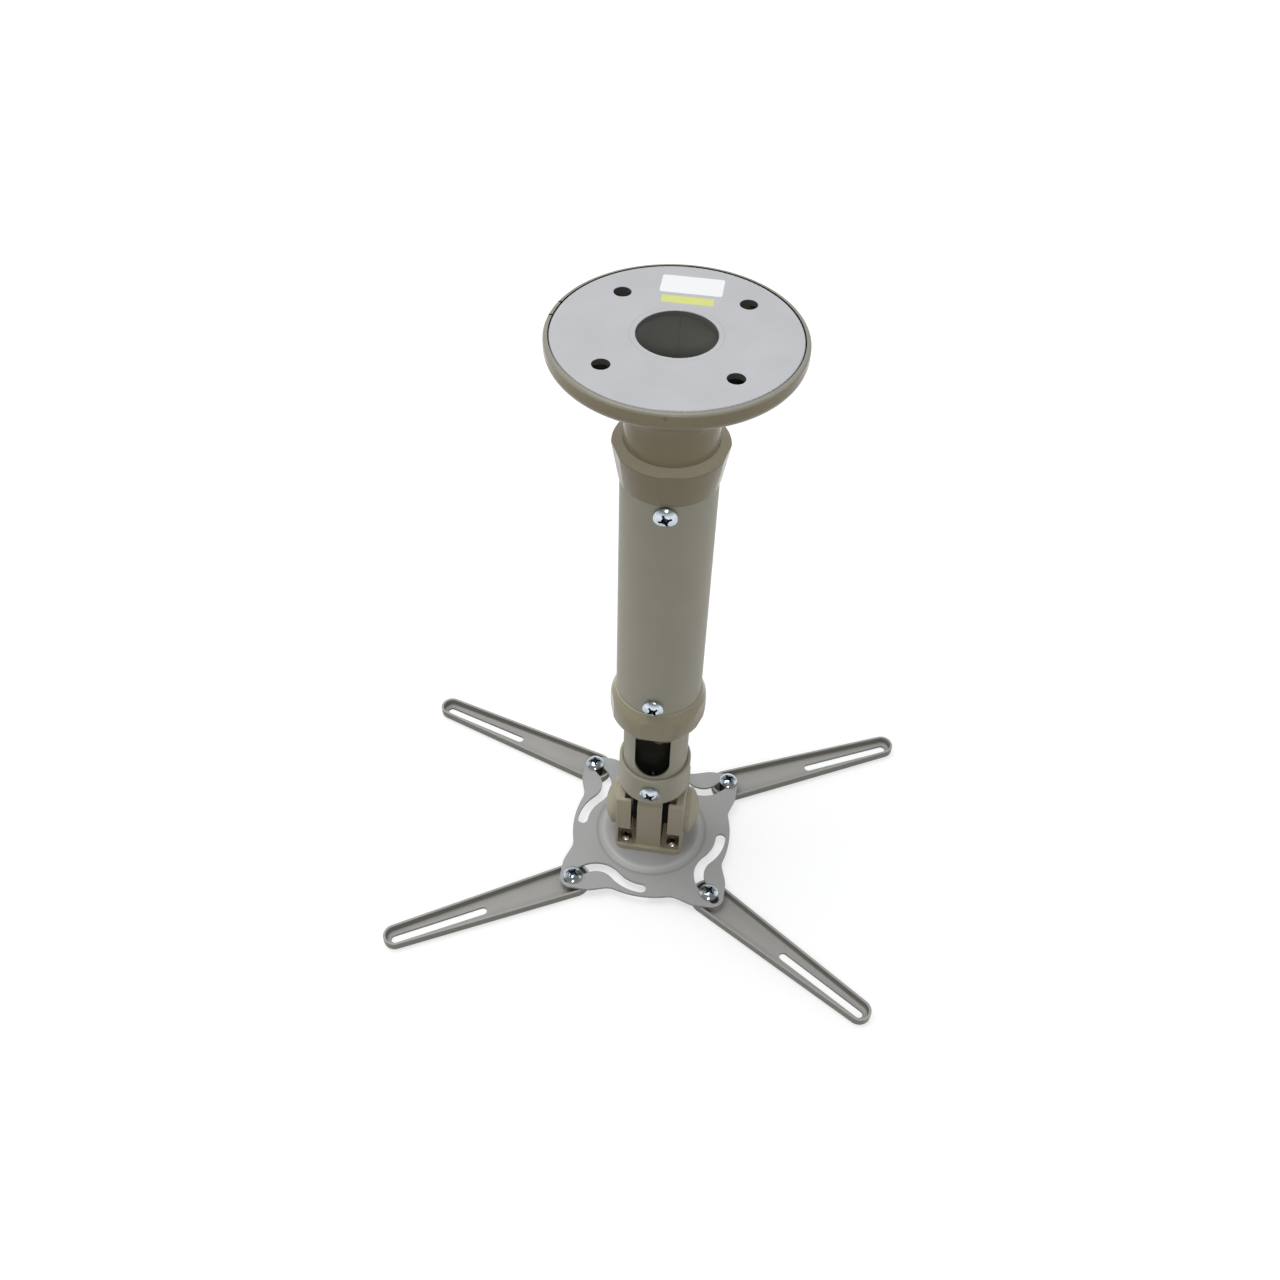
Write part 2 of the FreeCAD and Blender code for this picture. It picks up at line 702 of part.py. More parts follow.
def pivot_cap():
    """Domed cap with a spigot ring that snaps into the side pocket. Made along Z."""
    dome = domed_disc(cap_r, cap_rim, cap_height, cap_edge_round)
    hollow = domed_disc(cap_r - cap_wall, cap_rim - cap_wall / 2, cap_height - cap_wall,
                        cap_edge_round / 2)
    spigot_r = side_pocket_r - cap_spigot_fit
    spigot = ring(spigot_r, spigot_r - cap_spigot_wall, cap_spigot_gap - side_pocket_depth,
                  cap_height - cap_wall)
    spigot = spigot.common(domed_disc(cap_r, cap_rim, cap_height, cap_edge_round).fuse(
        Part.makeCylinder(spigot_r, side_pocket_depth, V(0, 0, -side_pocket_depth))))
    return dome.cut(hollow).fuse(spigot).removeSplitter()


def pivot_caps():
    right = along_x(pivot_cap(), block_half_width)
    return {"pivot_cap_right": right, "pivot_cap_left": right.mirror(ORIGIN, V(1, 0, 0))}


def four_sides(points):
    """Repeat one side's steps round the plate, each time a quarter turn further."""
    steps = []
    for k in range(4):
        a = math.radians(90 * k)
        for step in points:
            steps.append([V(x * math.cos(a) - y * math.sin(a), x * math.sin(a) + y * math.cos(a), 0)
                          for x, y in step])
    return steps


def star_outline():
    """Plan of the star plate as a face, from one side's lines and arcs."""
    half, corner = star_half, star_corner_r
    centre = half - corner
    mid = centre + corner * math.sqrt(0.5)
    side = [
        [(0, -star_bulge_r), (star_waist_x, -star_waist_y)],
        [(star_lobe_start, -half)],
        [(centre, -half)],
        [(mid, -mid), (half, -centre)],
        [(half, -star_lobe_start)],
        [(star_waist_y, -star_waist_x)],
    ]
    edges = []
    here = V(-star_waist_x, -star_waist_y, 0)
    for step in four_sides(side):
        if len(step) == 2:
            edges.append(Part.Arc(here, step[0], step[1]).toShape())
        else:
            edges.append(Part.LineSegment(here, step[0]).toShape())
        here = step[-1]
    return Part.Face(Part.Wire(edges))


def arc_slot(centre, radius, start, sweep):
    """Curved stretch of a slot, through the plate's thickness and a little more."""
    z_low, height = star_bottom - 1, star_thick + boss_rise + 2
    place = V(centre[0], centre[1], z_low)
    band = Part.makeCylinder(radius + slot_half_width, height, place, UP, sweep)
    band = band.cut(Part.makeCylinder(radius - slot_half_width, height, place))
    band.rotate(place, UP, start)
    return band


def curved_slot():
    """S-shaped slot of the front left lobe: two arcs, then straight out along the diagonal."""
    low, bend = slot_inner_r, slot_bend_r
    reach = bend * math.sqrt(2)
    b = reach + slot_inner_centre
    c = reach ** 2 + slot_inner_centre ** 2 - (low + bend) ** 2
    bend_y = (-b - math.sqrt(b * b - 2 * c)) / 2
    bend_x = bend_y + reach
    centre = (0, -slot_inner_centre)
    bend_centre = (bend_x, bend_y)
    lean = math.degrees(math.atan2(bend_y + slot_inner_centre, bend_x))
    straight_start = -math.hypot(bend_x - bend * math.sqrt(0.5), bend_y + bend * math.sqrt(0.5))
    quarter, half_turn = 90.0, 180.0
    slot = arc_slot(centre, low, lean, -quarter - lean)
    bend_end = half_turn - quarter / 2
    slot = slot.fuse(arc_slot(bend_centre, bend, lean + half_turn, bend_end - lean - half_turn))
    z_low, height = star_bottom - 1, star_thick + boss_rise + 2
    run = block(-slot_outer_reach, straight_start, -slot_half_width, slot_half_width,
                z_low, z_low + height)
    slot = slot.fuse(turn(run, 45))
    for x, y in ((0, -slot_inner_centre - low), polar(slot_outer_reach, -135)[0:2]):
        slot = slot.fuse(Part.makeCylinder(slot_half_width, height, V(x, y, z_low)))
    return slot


def star_plate():
    outline = star_outline()
    outline.translate(V(0, 0, star_bottom))
    plate = outline.extrude(V(0, 0, star_thick))
    waists, starts = [], []
    for k in range(4):
        for x, y in ((star_waist_x, -star_waist_y), (-star_waist_x, -star_waist_y)):
            waists.append(turn(Part.Vertex(x, y, 0), 90 * k).Point)
        for x, y in ((star_lobe_start, -star_half), (-star_lobe_start, -star_half)):
            starts.append(turn(Part.Vertex(x, y, 0), 90 * k).Point)
    plate = plate.makeFillet(star_waist_blend, vertical_edges(plate, [(p.x, p.y) for p in waists]))
    plate = plate.makeFillet(star_lobe_blend, vertical_edges(plate, [(p.x, p.y) for p in starts]))
    plate = plate.cut(Part.makeCylinder(boss_r, star_thick, V(0, 0, star_bottom)))
    inner, middle, half_rise = boss_r - boss_slope, boss_r - boss_slope / 2, boss_rise / 2
    bend_r = (boss_slope ** 2 + boss_rise ** 2) / (4 * boss_rise)
    half_bend = math.asin(boss_slope / 2 / bend_r) / 2
    across, drop = bend_r * math.sin(half_bend), bend_r * (1 - math.cos(half_bend))
    low, high = star_bottom, star_top
    boss = turned((0, low + boss_rise), [
        ((inner, low + boss_rise),),
        ((inner + across, low + boss_rise - drop), (middle, low + half_rise)),
        ((boss_r - across, low + drop), (boss_r, low)),
        ((boss_r, high),),
        ((boss_r - across, high + drop), (middle, high + half_rise)),
        ((inner + across, high + boss_rise - drop), (inner, high + boss_rise)),
        ((0, high + boss_rise),),
    ])
    plate = plate.fuse(boss).removeSplitter()
    slot = curved_slot()
    for k in range(4):
        plate = plate.cut(turn(slot, 90 * k))
    for sx in (-1, 1):
        for sy in (-1, 1):
            place = V(sx * housing_screw_x, sy * housing_screw_y, star_bottom)
            plate = plate.cut(Part.makeCylinder(m4_hole_r, star_thick + boss_rise, place))
    return plate


def housing_fasteners():
    """Four small screws down through the flange, each with a nut under the star plate."""
    screw = pan_screw(m4_r, m4_head_r, m4_head_h, housing_screw_length)
    nut_top = star_bottom + boss_rise
    nut = hexagon(m4_nut_flats, m4_nut_height, 0).cut(Part.makeCylinder(m4_r, m4_nut_height))
    found = {}
    for row, sy in (("front", -1), ("back", 1)):
        for side, sx in (("left", -1), ("right", 1)):
            x, y = sx * housing_screw_x, sy * housing_screw_y
            placed = screw.copy()
            placed.translate(V(x, y, screw_seat_z))
            found["housing_screw_%s_%s" % (row, side)] = placed
            placed = nut.copy()
            placed.translate(V(x, y, nut_top - m4_nut_height))
            found["housing_nut_%s_%s" % (row, side)] = placed
    return found


def tapered_plan(root_r, tip_r, length):
    """Face bounded by a root circle at 0, a tip circle at the length and their tangents."""
    a = math.pi / 2 - math.asin((root_r - tip_r) / length)
    c, s = math.cos(a), math.sin(a)
    root_top, root_low = V(root_r * c, root_r * s, 0), V(root_r * c, -root_r * s, 0)
    tip_top, tip_low = V(length + tip_r * c, tip_r * s, 0), V(length + tip_r * c, -tip_r * s, 0)
    edges = [
        Part.Arc(root_top, V(-root_r, 0, 0), root_low).toShape(),
        Part.LineSegment(root_low, tip_low).toShape(),
        Part.Arc(tip_low, V(length + tip_r, 0, 0), tip_top).toShape(),
        Part.LineSegment(tip_top, root_top).toShape(),
    ]
    return Part.Face(Part.Wire(edges))


def arm_tray():
    """One arm along +X with its screw at the origin: a shallow tray with a long slot."""
    slot_end = arm_slot_start + arm_slot_length
    length = slot_end + arm_tip_margin - arm_tip_r
    tray = tapered_plan(arm_root_r, arm_tip_r, length).extrude(V(0, 0, arm_depth))
    bottom = [e for e in tray.Edges if e.BoundBox.ZMax < 1e-6]
    tray = tray.makeFillet(arm_edge_round, bottom)
    inside = tapered_plan(arm_root_r - arm_wall, arm_tip_r - arm_wall, length)
    inside.translate(V(0, 0, arm_thick))
    hollow = inside.extrude(V(0, 0, arm_depth))
    foot = [e for e in hollow.Edges if e.BoundBox.ZMax < arm_thick + 1e-6]
    tray = tray.cut(hollow.makeFillet(arm_inner_round, foot))
    half = arm_slot_width / 2
    slot = block(arm_slot_start + half, slot_end - half, -half, half, -1, arm_thick + 1)
    for x in (arm_slot_start + half, slot_end - half):
        slot = slot.fuse(Part.makeCylinder(half, arm_thick + 2, V(x, 0, -1)))
    tray = tray.cut(slot.removeSplitter())
    return tray.cut(Part.makeCylinder(arm_bush_spigot_r, arm_thick + 2, V(0, 0, -1)))


def arm_bush():
    """Threaded steel bush clinched in the arm's root, up to the star plate's underside."""
    body = Part.makeCylinder(arm_bush_r, arm_depth - arm_thick, V(0, 0, arm_thick))
    spigot = Part.makeCylinder(arm_bush_spigot_r, arm_thick - arm_bush_gap, V(0, 0, arm_bush_gap))
    bush = body.fuse(spigot).removeSplitter()
    return bush.cut(Part.makeCylinder(m6_r + arm_turn_fit, arm_depth, V(0, 0, 0)))


def arms():
    """The four arms, each with its bush and the screw that rides in the curved slot."""
    tray, bush = arm_tray(), arm_bush()
    screw = pan_screw(m6_r, m6_head_r, m6_head_h, arm_screw_length)
    places = (
        ("back_left", back_left_reach, back_left_turn),
        ("back_right", back_right_reach, back_right_turn),
        ("front_right", front_right_reach, front_right_turn),
        ("front_left", front_left_reach, front_left_turn),
    )
    found = {}
    for k, (name, distance, turned_by) in enumerate(places):
        lobe = 180 - 45 - 90 * k
        direction = lobe + turned_by
        place = polar(distance, lobe, floor_z)
        for kind, shape in (("arm", tray), ("arm_bush", bush)):
            placed = turn(shape, direction)
            placed.translate(place)
            found["%s_%s" % (kind, name)] = placed
        placed = turn(screw, direction)
        placed.translate(polar(distance, lobe, star_top))
        found["arm_screw_%s" % name] = placed
    return found


def whole_mount():
    nodes = {
        "ceiling_plate": ceiling_plate(),
        "stub_tube": stub_tube(),
        "ceiling_canopy": ceiling_canopy(),
        "upper_collar": upper_collar(),
        "outer_tube": outer_tube(),
        "lower_collar": lower_collar(),
        "guide_bush": guide_bush(),
        "inner_tube": inner_tube(),
        "socket_cup": socket_cup(),
        "socket_screw": socket_screw(),
        "tilt_bracket": tilt_bracket(),
        "tilt_housing": tilt_housing(),
        "star_plate": star_plate(),
    }
    nodes.update(clamp_screws())
    nodes.update(tilt_fasteners())
    nodes.update(pivot_caps())
    nodes.update(housing_fasteners())
    nodes.update(arms())
    return nodes


os.makedirs("parts", exist_ok=True)
for node, shape in whole_mount().items():
    shape.exportStep(os.path.join("parts", node + ".step"))
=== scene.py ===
"""Ceiling mount for a projector, standing on its four arms as it does on the studio table.

Lengths are in metres. +Z points up into the ceiling, -Y is the front with the clamp screws.
The sections follow the mount from the ceiling down, after the camera and the studio.
"""
import json
import math

import bmesh
import bpy
from mathutils import Matrix, Vector


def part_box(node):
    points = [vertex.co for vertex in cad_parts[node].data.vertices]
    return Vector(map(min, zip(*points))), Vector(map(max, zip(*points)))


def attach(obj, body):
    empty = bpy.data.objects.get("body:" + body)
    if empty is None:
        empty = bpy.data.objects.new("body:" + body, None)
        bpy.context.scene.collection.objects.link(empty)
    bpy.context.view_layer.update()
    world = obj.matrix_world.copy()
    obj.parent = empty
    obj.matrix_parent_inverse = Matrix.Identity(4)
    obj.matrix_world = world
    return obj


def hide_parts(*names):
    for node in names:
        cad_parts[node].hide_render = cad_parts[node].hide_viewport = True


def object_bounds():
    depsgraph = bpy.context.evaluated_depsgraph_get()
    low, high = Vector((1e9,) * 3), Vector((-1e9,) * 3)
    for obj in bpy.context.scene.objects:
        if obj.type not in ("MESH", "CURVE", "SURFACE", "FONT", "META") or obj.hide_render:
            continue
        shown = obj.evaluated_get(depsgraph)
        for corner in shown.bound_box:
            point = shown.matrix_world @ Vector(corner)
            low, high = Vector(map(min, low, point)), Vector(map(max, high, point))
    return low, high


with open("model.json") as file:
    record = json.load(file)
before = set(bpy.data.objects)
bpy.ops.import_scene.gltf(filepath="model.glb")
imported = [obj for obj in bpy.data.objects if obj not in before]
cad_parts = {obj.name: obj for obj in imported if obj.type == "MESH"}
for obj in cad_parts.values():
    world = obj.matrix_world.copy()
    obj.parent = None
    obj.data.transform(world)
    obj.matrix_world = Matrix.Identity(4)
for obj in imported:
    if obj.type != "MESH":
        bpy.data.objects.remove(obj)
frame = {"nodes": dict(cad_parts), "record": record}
cad_box = [list(corner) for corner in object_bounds()]
MM = 0.001


# Camera
# The photograph is taken from the front, a little to the right and looking well down, with a
# short tele lens and the camera rolled by about two degrees.
image_width = 1280
focal_pixels = 1238.95
camera_place = Vector((48.29, -475.38, 311.55)) * MM
camera_heading = math.radians(97.24)
camera_drop = math.radians(47.06)
camera_roll = math.radians(1.92)

ahead = Vector((math.cos(camera_heading) * math.cos(camera_drop),
                math.sin(camera_heading) * math.cos(camera_drop),
                -math.sin(camera_drop)))
level = Vector((math.sin(camera_heading), -math.cos(camera_heading), 0))
upward = level.cross(ahead)
side_axis = math.cos(camera_roll) * level + math.sin(camera_roll) * upward
top_axis = math.cos(camera_roll) * upward - math.sin(camera_roll) * level
camera_data = bpy.data.cameras.new("camera")
camera_data.sensor_width = 36.0
camera_data.lens = camera_data.sensor_width * focal_pixels / image_width
camera_data.clip_start = 0.01
camera = bpy.data.objects.new("camera", camera_data)
camera.matrix_world = Matrix((
    (side_axis.x, top_axis.x, -ahead.x, camera_place.x),
    (side_axis.y, top_axis.y, -ahead.y, camera_place.y),
    (side_axis.z, top_axis.z, -ahead.z, camera_place.z),
    (0, 0, 0, 1),
))
bpy.context.scene.collection.objects.link(camera)
bpy.context.scene.camera = camera
bpy.context.scene.view_settings.view_transform = "Standard"


# Studio
# A white table top under soft daylight: a large panel overhead, a little to the left of the
# mount, a weak one on either side and a small lamp above the camera that puts the bright points
# on the screws and the rim. Table and room are white to the eye and to the gloss alone.
def ray_seen(nodes, links):
    """1 for rays that the eye, a mirror or glass sends out, 0 for the light on the object."""
    path = nodes.new("ShaderNodeLightPath")
    total = path.outputs["Is Camera Ray"]
    for name in ("Is Glossy Ray", "Is Transmission Ray"):
        both = nodes.new("ShaderNodeMath")
        both.operation = "MAXIMUM"
        links.new(total, both.inputs[0])
        links.new(path.outputs[name], both.inputs[1])
        total = both.outputs[0]
    return total


def moved_range(nodes, links, value, low_in, high_in, low_out, high_out):
    """Value moved from one range to another, held at its ends."""
    node = nodes.new("ShaderNodeMapRange")
    node.inputs["From Min"].default_value = low_in
    node.inputs["From Max"].default_value = high_in
    node.inputs["To Min"].default_value = low_out
    node.inputs["To Max"].default_value = high_out
    links.new(value, node.inputs["Value"])
    return node.outputs["Result"]


floor_z = cad_box[0][2]
floor_half = 6.0
floor_mesh = bpy.data.meshes.new("table_top")
floor_mesh.from_pydata([(-floor_half, -floor_half, floor_z), (floor_half, -floor_half, floor_z),
                        (floor_half, floor_half, floor_z), (-floor_half, floor_half, floor_z)],
                       [], [(0, 1, 2, 3)])
table_top = bpy.data.objects.new("table_top", floor_mesh)
bpy.context.scene.collection.objects.link(table_top)
table_paint = bpy.data.materials.new("table_white")
table_paint.use_nodes = True
table_nodes, table_links = table_paint.node_tree.nodes, table_paint.node_tree.links
table_shader = table_nodes["Principled BSDF"]
table_grey = (0.42, 0.42, 0.42, 1)
table_shader.inputs["Base Color"].default_value = table_grey
table_shader.inputs["Roughness"].default_value = 0.9
table_shader.inputs["Specular IOR Level"].default_value = 0.1
glow_near, glow_far = 0.62, 1.0
lit_reach, glow_reach = 0.35, 1.6
glow = table_nodes.new("ShaderNodeMath")
glow.operation = "MULTIPLY"
table_links.new(ray_seen(table_nodes, table_links), glow.inputs[0])
floor_place = table_nodes.new("ShaderNodeTexCoord")
from_middle = table_nodes.new("ShaderNodeVectorMath")
from_middle.operation = "LENGTH"
table_links.new(floor_place.outputs["Object"], from_middle.inputs[0])
strength = moved_range(table_nodes, table_links, from_middle.outputs["Value"],
                       lit_reach, glow_reach, glow_near, glow_far)
table_links.new(strength, glow.inputs[1])
table_links.new(glow.outputs[0], table_shader.inputs["Emission Strength"])
table_shader.inputs["Emission Color"].default_value = (1, 1, 1, 1)
floor_mesh.materials.append(table_paint)

# The room's own light is dim on the camera's side and bright overhead and behind. To the eye
# the room is white at the height of the table and greyer higher up.
daylight = (0.97, 0.985, 1.0)
room_dim, room_bright, room_white, room_grey = 0.05, 0.42, 1.0, 0.25
bright_side = Vector((0, 0.6, 0.8))
dim_end, bright_end = -0.6, 0.9
white_height, grey_height = 0.05, 0.4
world = bpy.data.worlds.new("daylight")
world.use_nodes = True
room_nodes, room_links = world.node_tree.nodes, world.node_tree.links
background = room_nodes["Background"]
background.inputs["Color"].default_value = (*daylight, 1)
looking = room_nodes.new("ShaderNodeTexCoord")
facing = room_nodes.new("ShaderNodeVectorMath")
facing.operation = "DOT_PRODUCT"
room_links.new(looking.outputs["Generated"], facing.inputs[0])
facing.inputs[1].default_value = bright_side
room_level = moved_range(room_nodes, room_links, facing.outputs["Value"],
                         dim_end, bright_end, room_dim, room_bright)
height = room_nodes.new("ShaderNodeSeparateXYZ")
room_links.new(looking.outputs["Generated"], height.inputs["Vector"])
room_shade = moved_range(room_nodes, room_links, height.outputs["Z"],
                         white_height, grey_height, room_white, room_grey)
shown = room_nodes.new("ShaderNodeMix")
room_links.new(ray_seen(room_nodes, room_links), shown.inputs["Factor"])
room_links.new(room_level, shown.inputs["A"])
room_links.new(room_shade, shown.inputs["B"])
room_links.new(shown.outputs["Result"], background.inputs["Strength"])
bpy.context.scene.world = world


def panel_light(name, place, target, size, watts, tint):
    """Soft rectangular lamp that looks from a place to a target."""
    data = bpy.data.lights.new(name, "AREA")
    data.shape = "RECTANGLE"
    data.size, data.size_y = size
    data.energy = watts
    data.color = tint
    lamp = bpy.data.objects.new(name, data)
    lamp.location = place
    lamp.rotation_euler = (Vector(target) - Vector(place)).to_track_quat("-Z", "Y").to_euler()
    bpy.context.scene.collection.objects.link(lamp)


panel_light("overhead_panel", (-0.6, 0.15, 2.7), (0, 0, -0.3), (1.9, 1.9), 62.0, daylight)
panel_light("right_panel", (2.0, 0.7, 0.4), (0, 0, -0.25), (1.4, 1.6), 5.0, (1.0, 1.0, 1.0))
panel_light("left_panel", (-2.0, 0.3, 0.5), (0, 0, -0.25), (1.4, 1.6), 3.5, (1.0, 0.99, 0.97))
panel_light("camera_lamp", (0.2, -1.4, 0.85), (0, 0, -0.2), (0.25, 0.25), 4.4, (1.0, 1.0, 1.0))


# Ceiling plate
# A disc of 3 mm sheet steel, pressed down a little round the cable hole and sprayed with a
# pale cool grey powder paint that leaves a fine orange peel. The walls of the holes are
# painted dark, as painted shade in them.
class Finish:
    """A material being built from nodes, with a place coordinate to hang patterns on."""

    def __init__(self, name):
        self.material = bpy.data.materials.new(name)
        self.material.use_nodes = True
        self.tree = self.material.node_tree
        self.shader = self.tree.nodes["Principled BSDF"]
        self.place = self.add("ShaderNodeTexCoord").outputs["Object"]

    def add(self, kind, **settings):
        """New node with its own settings."""
        node = self.tree.nodes.new(kind)
        for key, value in settings.items():
            setattr(node, key, value)
        return node

    def link(self, source, target):
        self.tree.links.new(source, target)

    def noise(self, grain, detail=3.0, seed_shift=0.0):
        """Cloudy value from 0 to 1 whose patches are about a grain across."""
        mapping = self.add("ShaderNodeMapping")
        mapping.inputs["Location"].default_value = (seed_shift, seed_shift * 1.7, seed_shift * 0.6)
        self.link(self.place, mapping.inputs["Vector"])
        node = self.add("ShaderNodeTexNoise")
        node.inputs["Scale"].default_value = 1.0 / grain
        node.inputs["Detail"].default_value = detail
        self.link(mapping.outputs["Vector"], node.inputs["Vector"])
        return node.outputs["Fac"]

    def spread(self, value, low_in, high_in, low_out, high_out):
        """Value moved from one range to another, held at its ends."""
        return moved_range(self.tree.nodes, self.tree.links, value,
                           low_in, high_in, low_out, high_out)

    def along(self, direction):
        """Distance from the origin along a direction."""
        node = self.add("ShaderNodeVectorMath", operation="DOT_PRODUCT")
        self.link(self.place, node.inputs[0])
        node.inputs[1].default_value = direction
        return node.outputs["Value"]

    def sum(self, first, second, operation="ADD"):
        """Two values, each a number or another node's output, added or otherwise combined."""
        node = self.add("ShaderNodeMath", operation=operation)
        for socket, item in zip(node.inputs, (first, second)):
            if isinstance(item, (int, float)):
                socket.default_value = item
            else:
                self.link(item, socket)
        return node.outputs[0]

    def blend(self, share, first, second):
        """Colour between two colours, each a tuple or another node's output."""
        node = self.add("ShaderNodeMix", data_type="RGBA")
        self.link(share, node.inputs["Factor"])
        for socket, item in ((node.inputs[6], first), (node.inputs[7], second)):
            if isinstance(item, tuple):
                socket.default_value = (*item, 1)
            else:
                self.link(item, socket)
        return node.outputs[2]

    def raise_by(self, height, depth, under=None):
        """Bump from a height value, laid over another bump if there is one."""
        node = self.add("ShaderNodeBump")
        node.inputs["Strength"].default_value = 1.0
        node.inputs["Distance"].default_value = depth
        self.link(height, node.inputs["Height"])
        if under is not None:
            self.link(under, node.inputs["Normal"])
        return node.outputs["Normal"]


def shaded(colour, factor):
    return tuple(channel * factor for channel in colour)


def powder_paint(name, colour, roughness=0.42, peel=0.9 * MM, peel_depth=0.012 * MM):
    """Sprayed paint: slightly clouded colour, orange peel and specks of uneven gloss."""
    paint = Finish(name)
    cloud = paint.spread(paint.noise(26 * MM), 0.3, 0.7, 0.0, 1.0)
    speck = paint.spread(paint.noise(0.7 * MM, 2.0, 3.1), 0.35, 0.65, 0.0, 1.0)
    tone = paint.blend(cloud, shaded(colour, 0.965), shaded(colour, 1.03))
    tone = paint.blend(paint.spread(speck, 0.0, 1.0, 0.0, 0.06), tone, shaded(colour, 0.7))
    paint.link(tone, paint.shader.inputs["Base Color"])
    paint.shader.inputs["Specular IOR Level"].default_value = 0.35
    gloss = paint.sum(paint.spread(cloud, 0, 1, -0.03, 0.03), paint.spread(speck, 0, 1, -0.05, 0.05))
    paint.link(paint.sum(gloss, roughness), paint.shader.inputs["Roughness"])
    paint.normal = paint.raise_by(paint.noise(peel, 2.0, 1.3), peel_depth)
    paint.link(paint.normal, paint.shader.inputs["Normal"])
    paint.tone = tone
    return paint


def clean_copy(node, edge_round=0.0, segments=2, crease=32.0):
    """Piece with a node's exact shape: one skin of smooth faces, its crisp edges softened."""
    source = frame["nodes"][node]
    mesh = bpy.data.meshes.new(node + "_shape")
    made = bmesh.new()
    made.from_mesh(source.data)
    bmesh.ops.remove_doubles(made, verts=made.verts, dist=0.002 * MM)
    bmesh.ops.dissolve_limit(made, angle_limit=math.radians(0.4), verts=made.verts, edges=made.edges,
                             delimit={"NORMAL"})
    sharp = math.radians(crease)
    for edge in made.edges:
        edge.smooth = not (len(edge.link_faces) == 2 and edge.calc_face_angle(0) > sharp)
    for face in made.faces:
        face.smooth = True
    made.to_mesh(mesh)
    made.free()
    piece = bpy.data.objects.new(node + "_piece", mesh)
    bpy.context.scene.collection.objects.link(piece)
    if edge_round:
        bevel = piece.modifiers.new("soft_edges", "BEVEL")
        bevel.width = edge_round
        bevel.segments = segments
        bevel.limit_method = "ANGLE"
        bevel.angle_limit = sharp
        even = piece.modifiers.new("even_shading", "WEIGHTED_NORMAL")
        even.keep_sharp = True
    return piece


def body_holding(node):
    for body, members in frame["record"]["behaviour"]["bodies"].items():
        if node in members:
            return body


def fit(piece, node, material):
    """Paint a piece, and let it stand for a node on that node's body."""
    piece.data.materials.clear()
    piece.data.materials.append(material)
    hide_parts(node)
    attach(piece, body_holding(node))


def radius_of(paint):
    """Distance from the mount's axis, as a value for rings and lines round it."""
    split = paint.add("ShaderNodeSeparateXYZ")
    paint.link(paint.place, split.inputs["Vector"])
    flat = paint.add("ShaderNodeCombineXYZ")
    paint.link(split.outputs["X"], flat.inputs["X"])
    paint.link(split.outputs["Y"], flat.inputs["Y"])
    length = paint.add("ShaderNodeVectorMath", operation="LENGTH")
    paint.link(flat.outputs["Vector"], length.inputs[0])
    return length.outputs["Value"]


def band(paint, value, middle, half_width):
    """1 at the middle of a narrow band of a value, falling to 0 at its edges."""
    off = paint.sum(paint.sum(value, middle, "SUBTRACT"), 0.0, "ABSOLUTE")
    return paint.spread(off, 0.0, half_width, 1.0, 0.0)


def near_holes(paint, across, reach):
    """1 on the walls of four holes at (+-across, +-across), 0 beyond their radius."""
    corner = paint.add("ShaderNodeVectorMath", operation="ABSOLUTE")
    paint.link(paint.place, corner.inputs[0])
    flat = paint.add("ShaderNodeVectorMath", operation="MULTIPLY")
    paint.link(corner.outputs["Vector"], flat.inputs[0])
    flat.inputs[1].default_value = (1, 1, 0)
    away = paint.add("ShaderNodeVectorMath", operation="DISTANCE")
    paint.link(flat.outputs["Vector"], away.inputs[0])
    away.inputs[1].default_value = (across, across, 0)
    return paint.spread(away.outputs["Value"], reach, reach + 0.1 * MM, 1.0, 0.0)


plate_grey, hole_painted_shade, cable_hole_painted_shade = (0.50, 0.50, 0.51), (0.10, 0.105, 0.11), (0.17, 0.17, 0.155)
fixing_across, fixing_hole_r = 29.52 * MM, 4.2 * MM
cable_hole_r, press_line_r = 18.75 * MM, 21.4 * MM
plate_paint = powder_paint("plate_powder_paint", plate_grey, 0.46)
# The pressed step is painted as a darker ring: painted shade along the step.
press_line = band(plate_paint, radius_of(plate_paint), press_line_r, 0.5 * MM)
plate_tone = plate_paint.blend(plate_paint.spread(press_line, 0, 1, 0, 0.35),
                               plate_paint.tone, shaded(plate_grey, 0.72))
# The walls of the fixing holes and of the cable hole are painted dark: painted shade.
in_holes = near_holes(plate_paint, fixing_across, fixing_hole_r)
plate_tone = plate_paint.blend(in_holes, plate_tone, hole_painted_shade)
in_cable_hole = plate_paint.spread(radius_of(plate_paint), cable_hole_r, cable_hole_r + 0.1 * MM,
                                   1.0, 0.0)
plate_tone = plate_paint.blend(in_cable_hole, plate_tone, cable_hole_painted_shade)
plate_paint.link(plate_tone, plate_paint.shader.inputs["Base Color"])
pressed = plate_paint.raise_by(plate_paint.sum(1.0, press_line, "SUBTRACT"), 0.08 * MM,
                               plate_paint.normal)
plate_paint.link(pressed, plate_paint.shader.inputs["Normal"])
fit(clean_copy("ceiling_plate", 0.2 * MM, crease=60.0), "ceiling_plate", plate_paint.material)


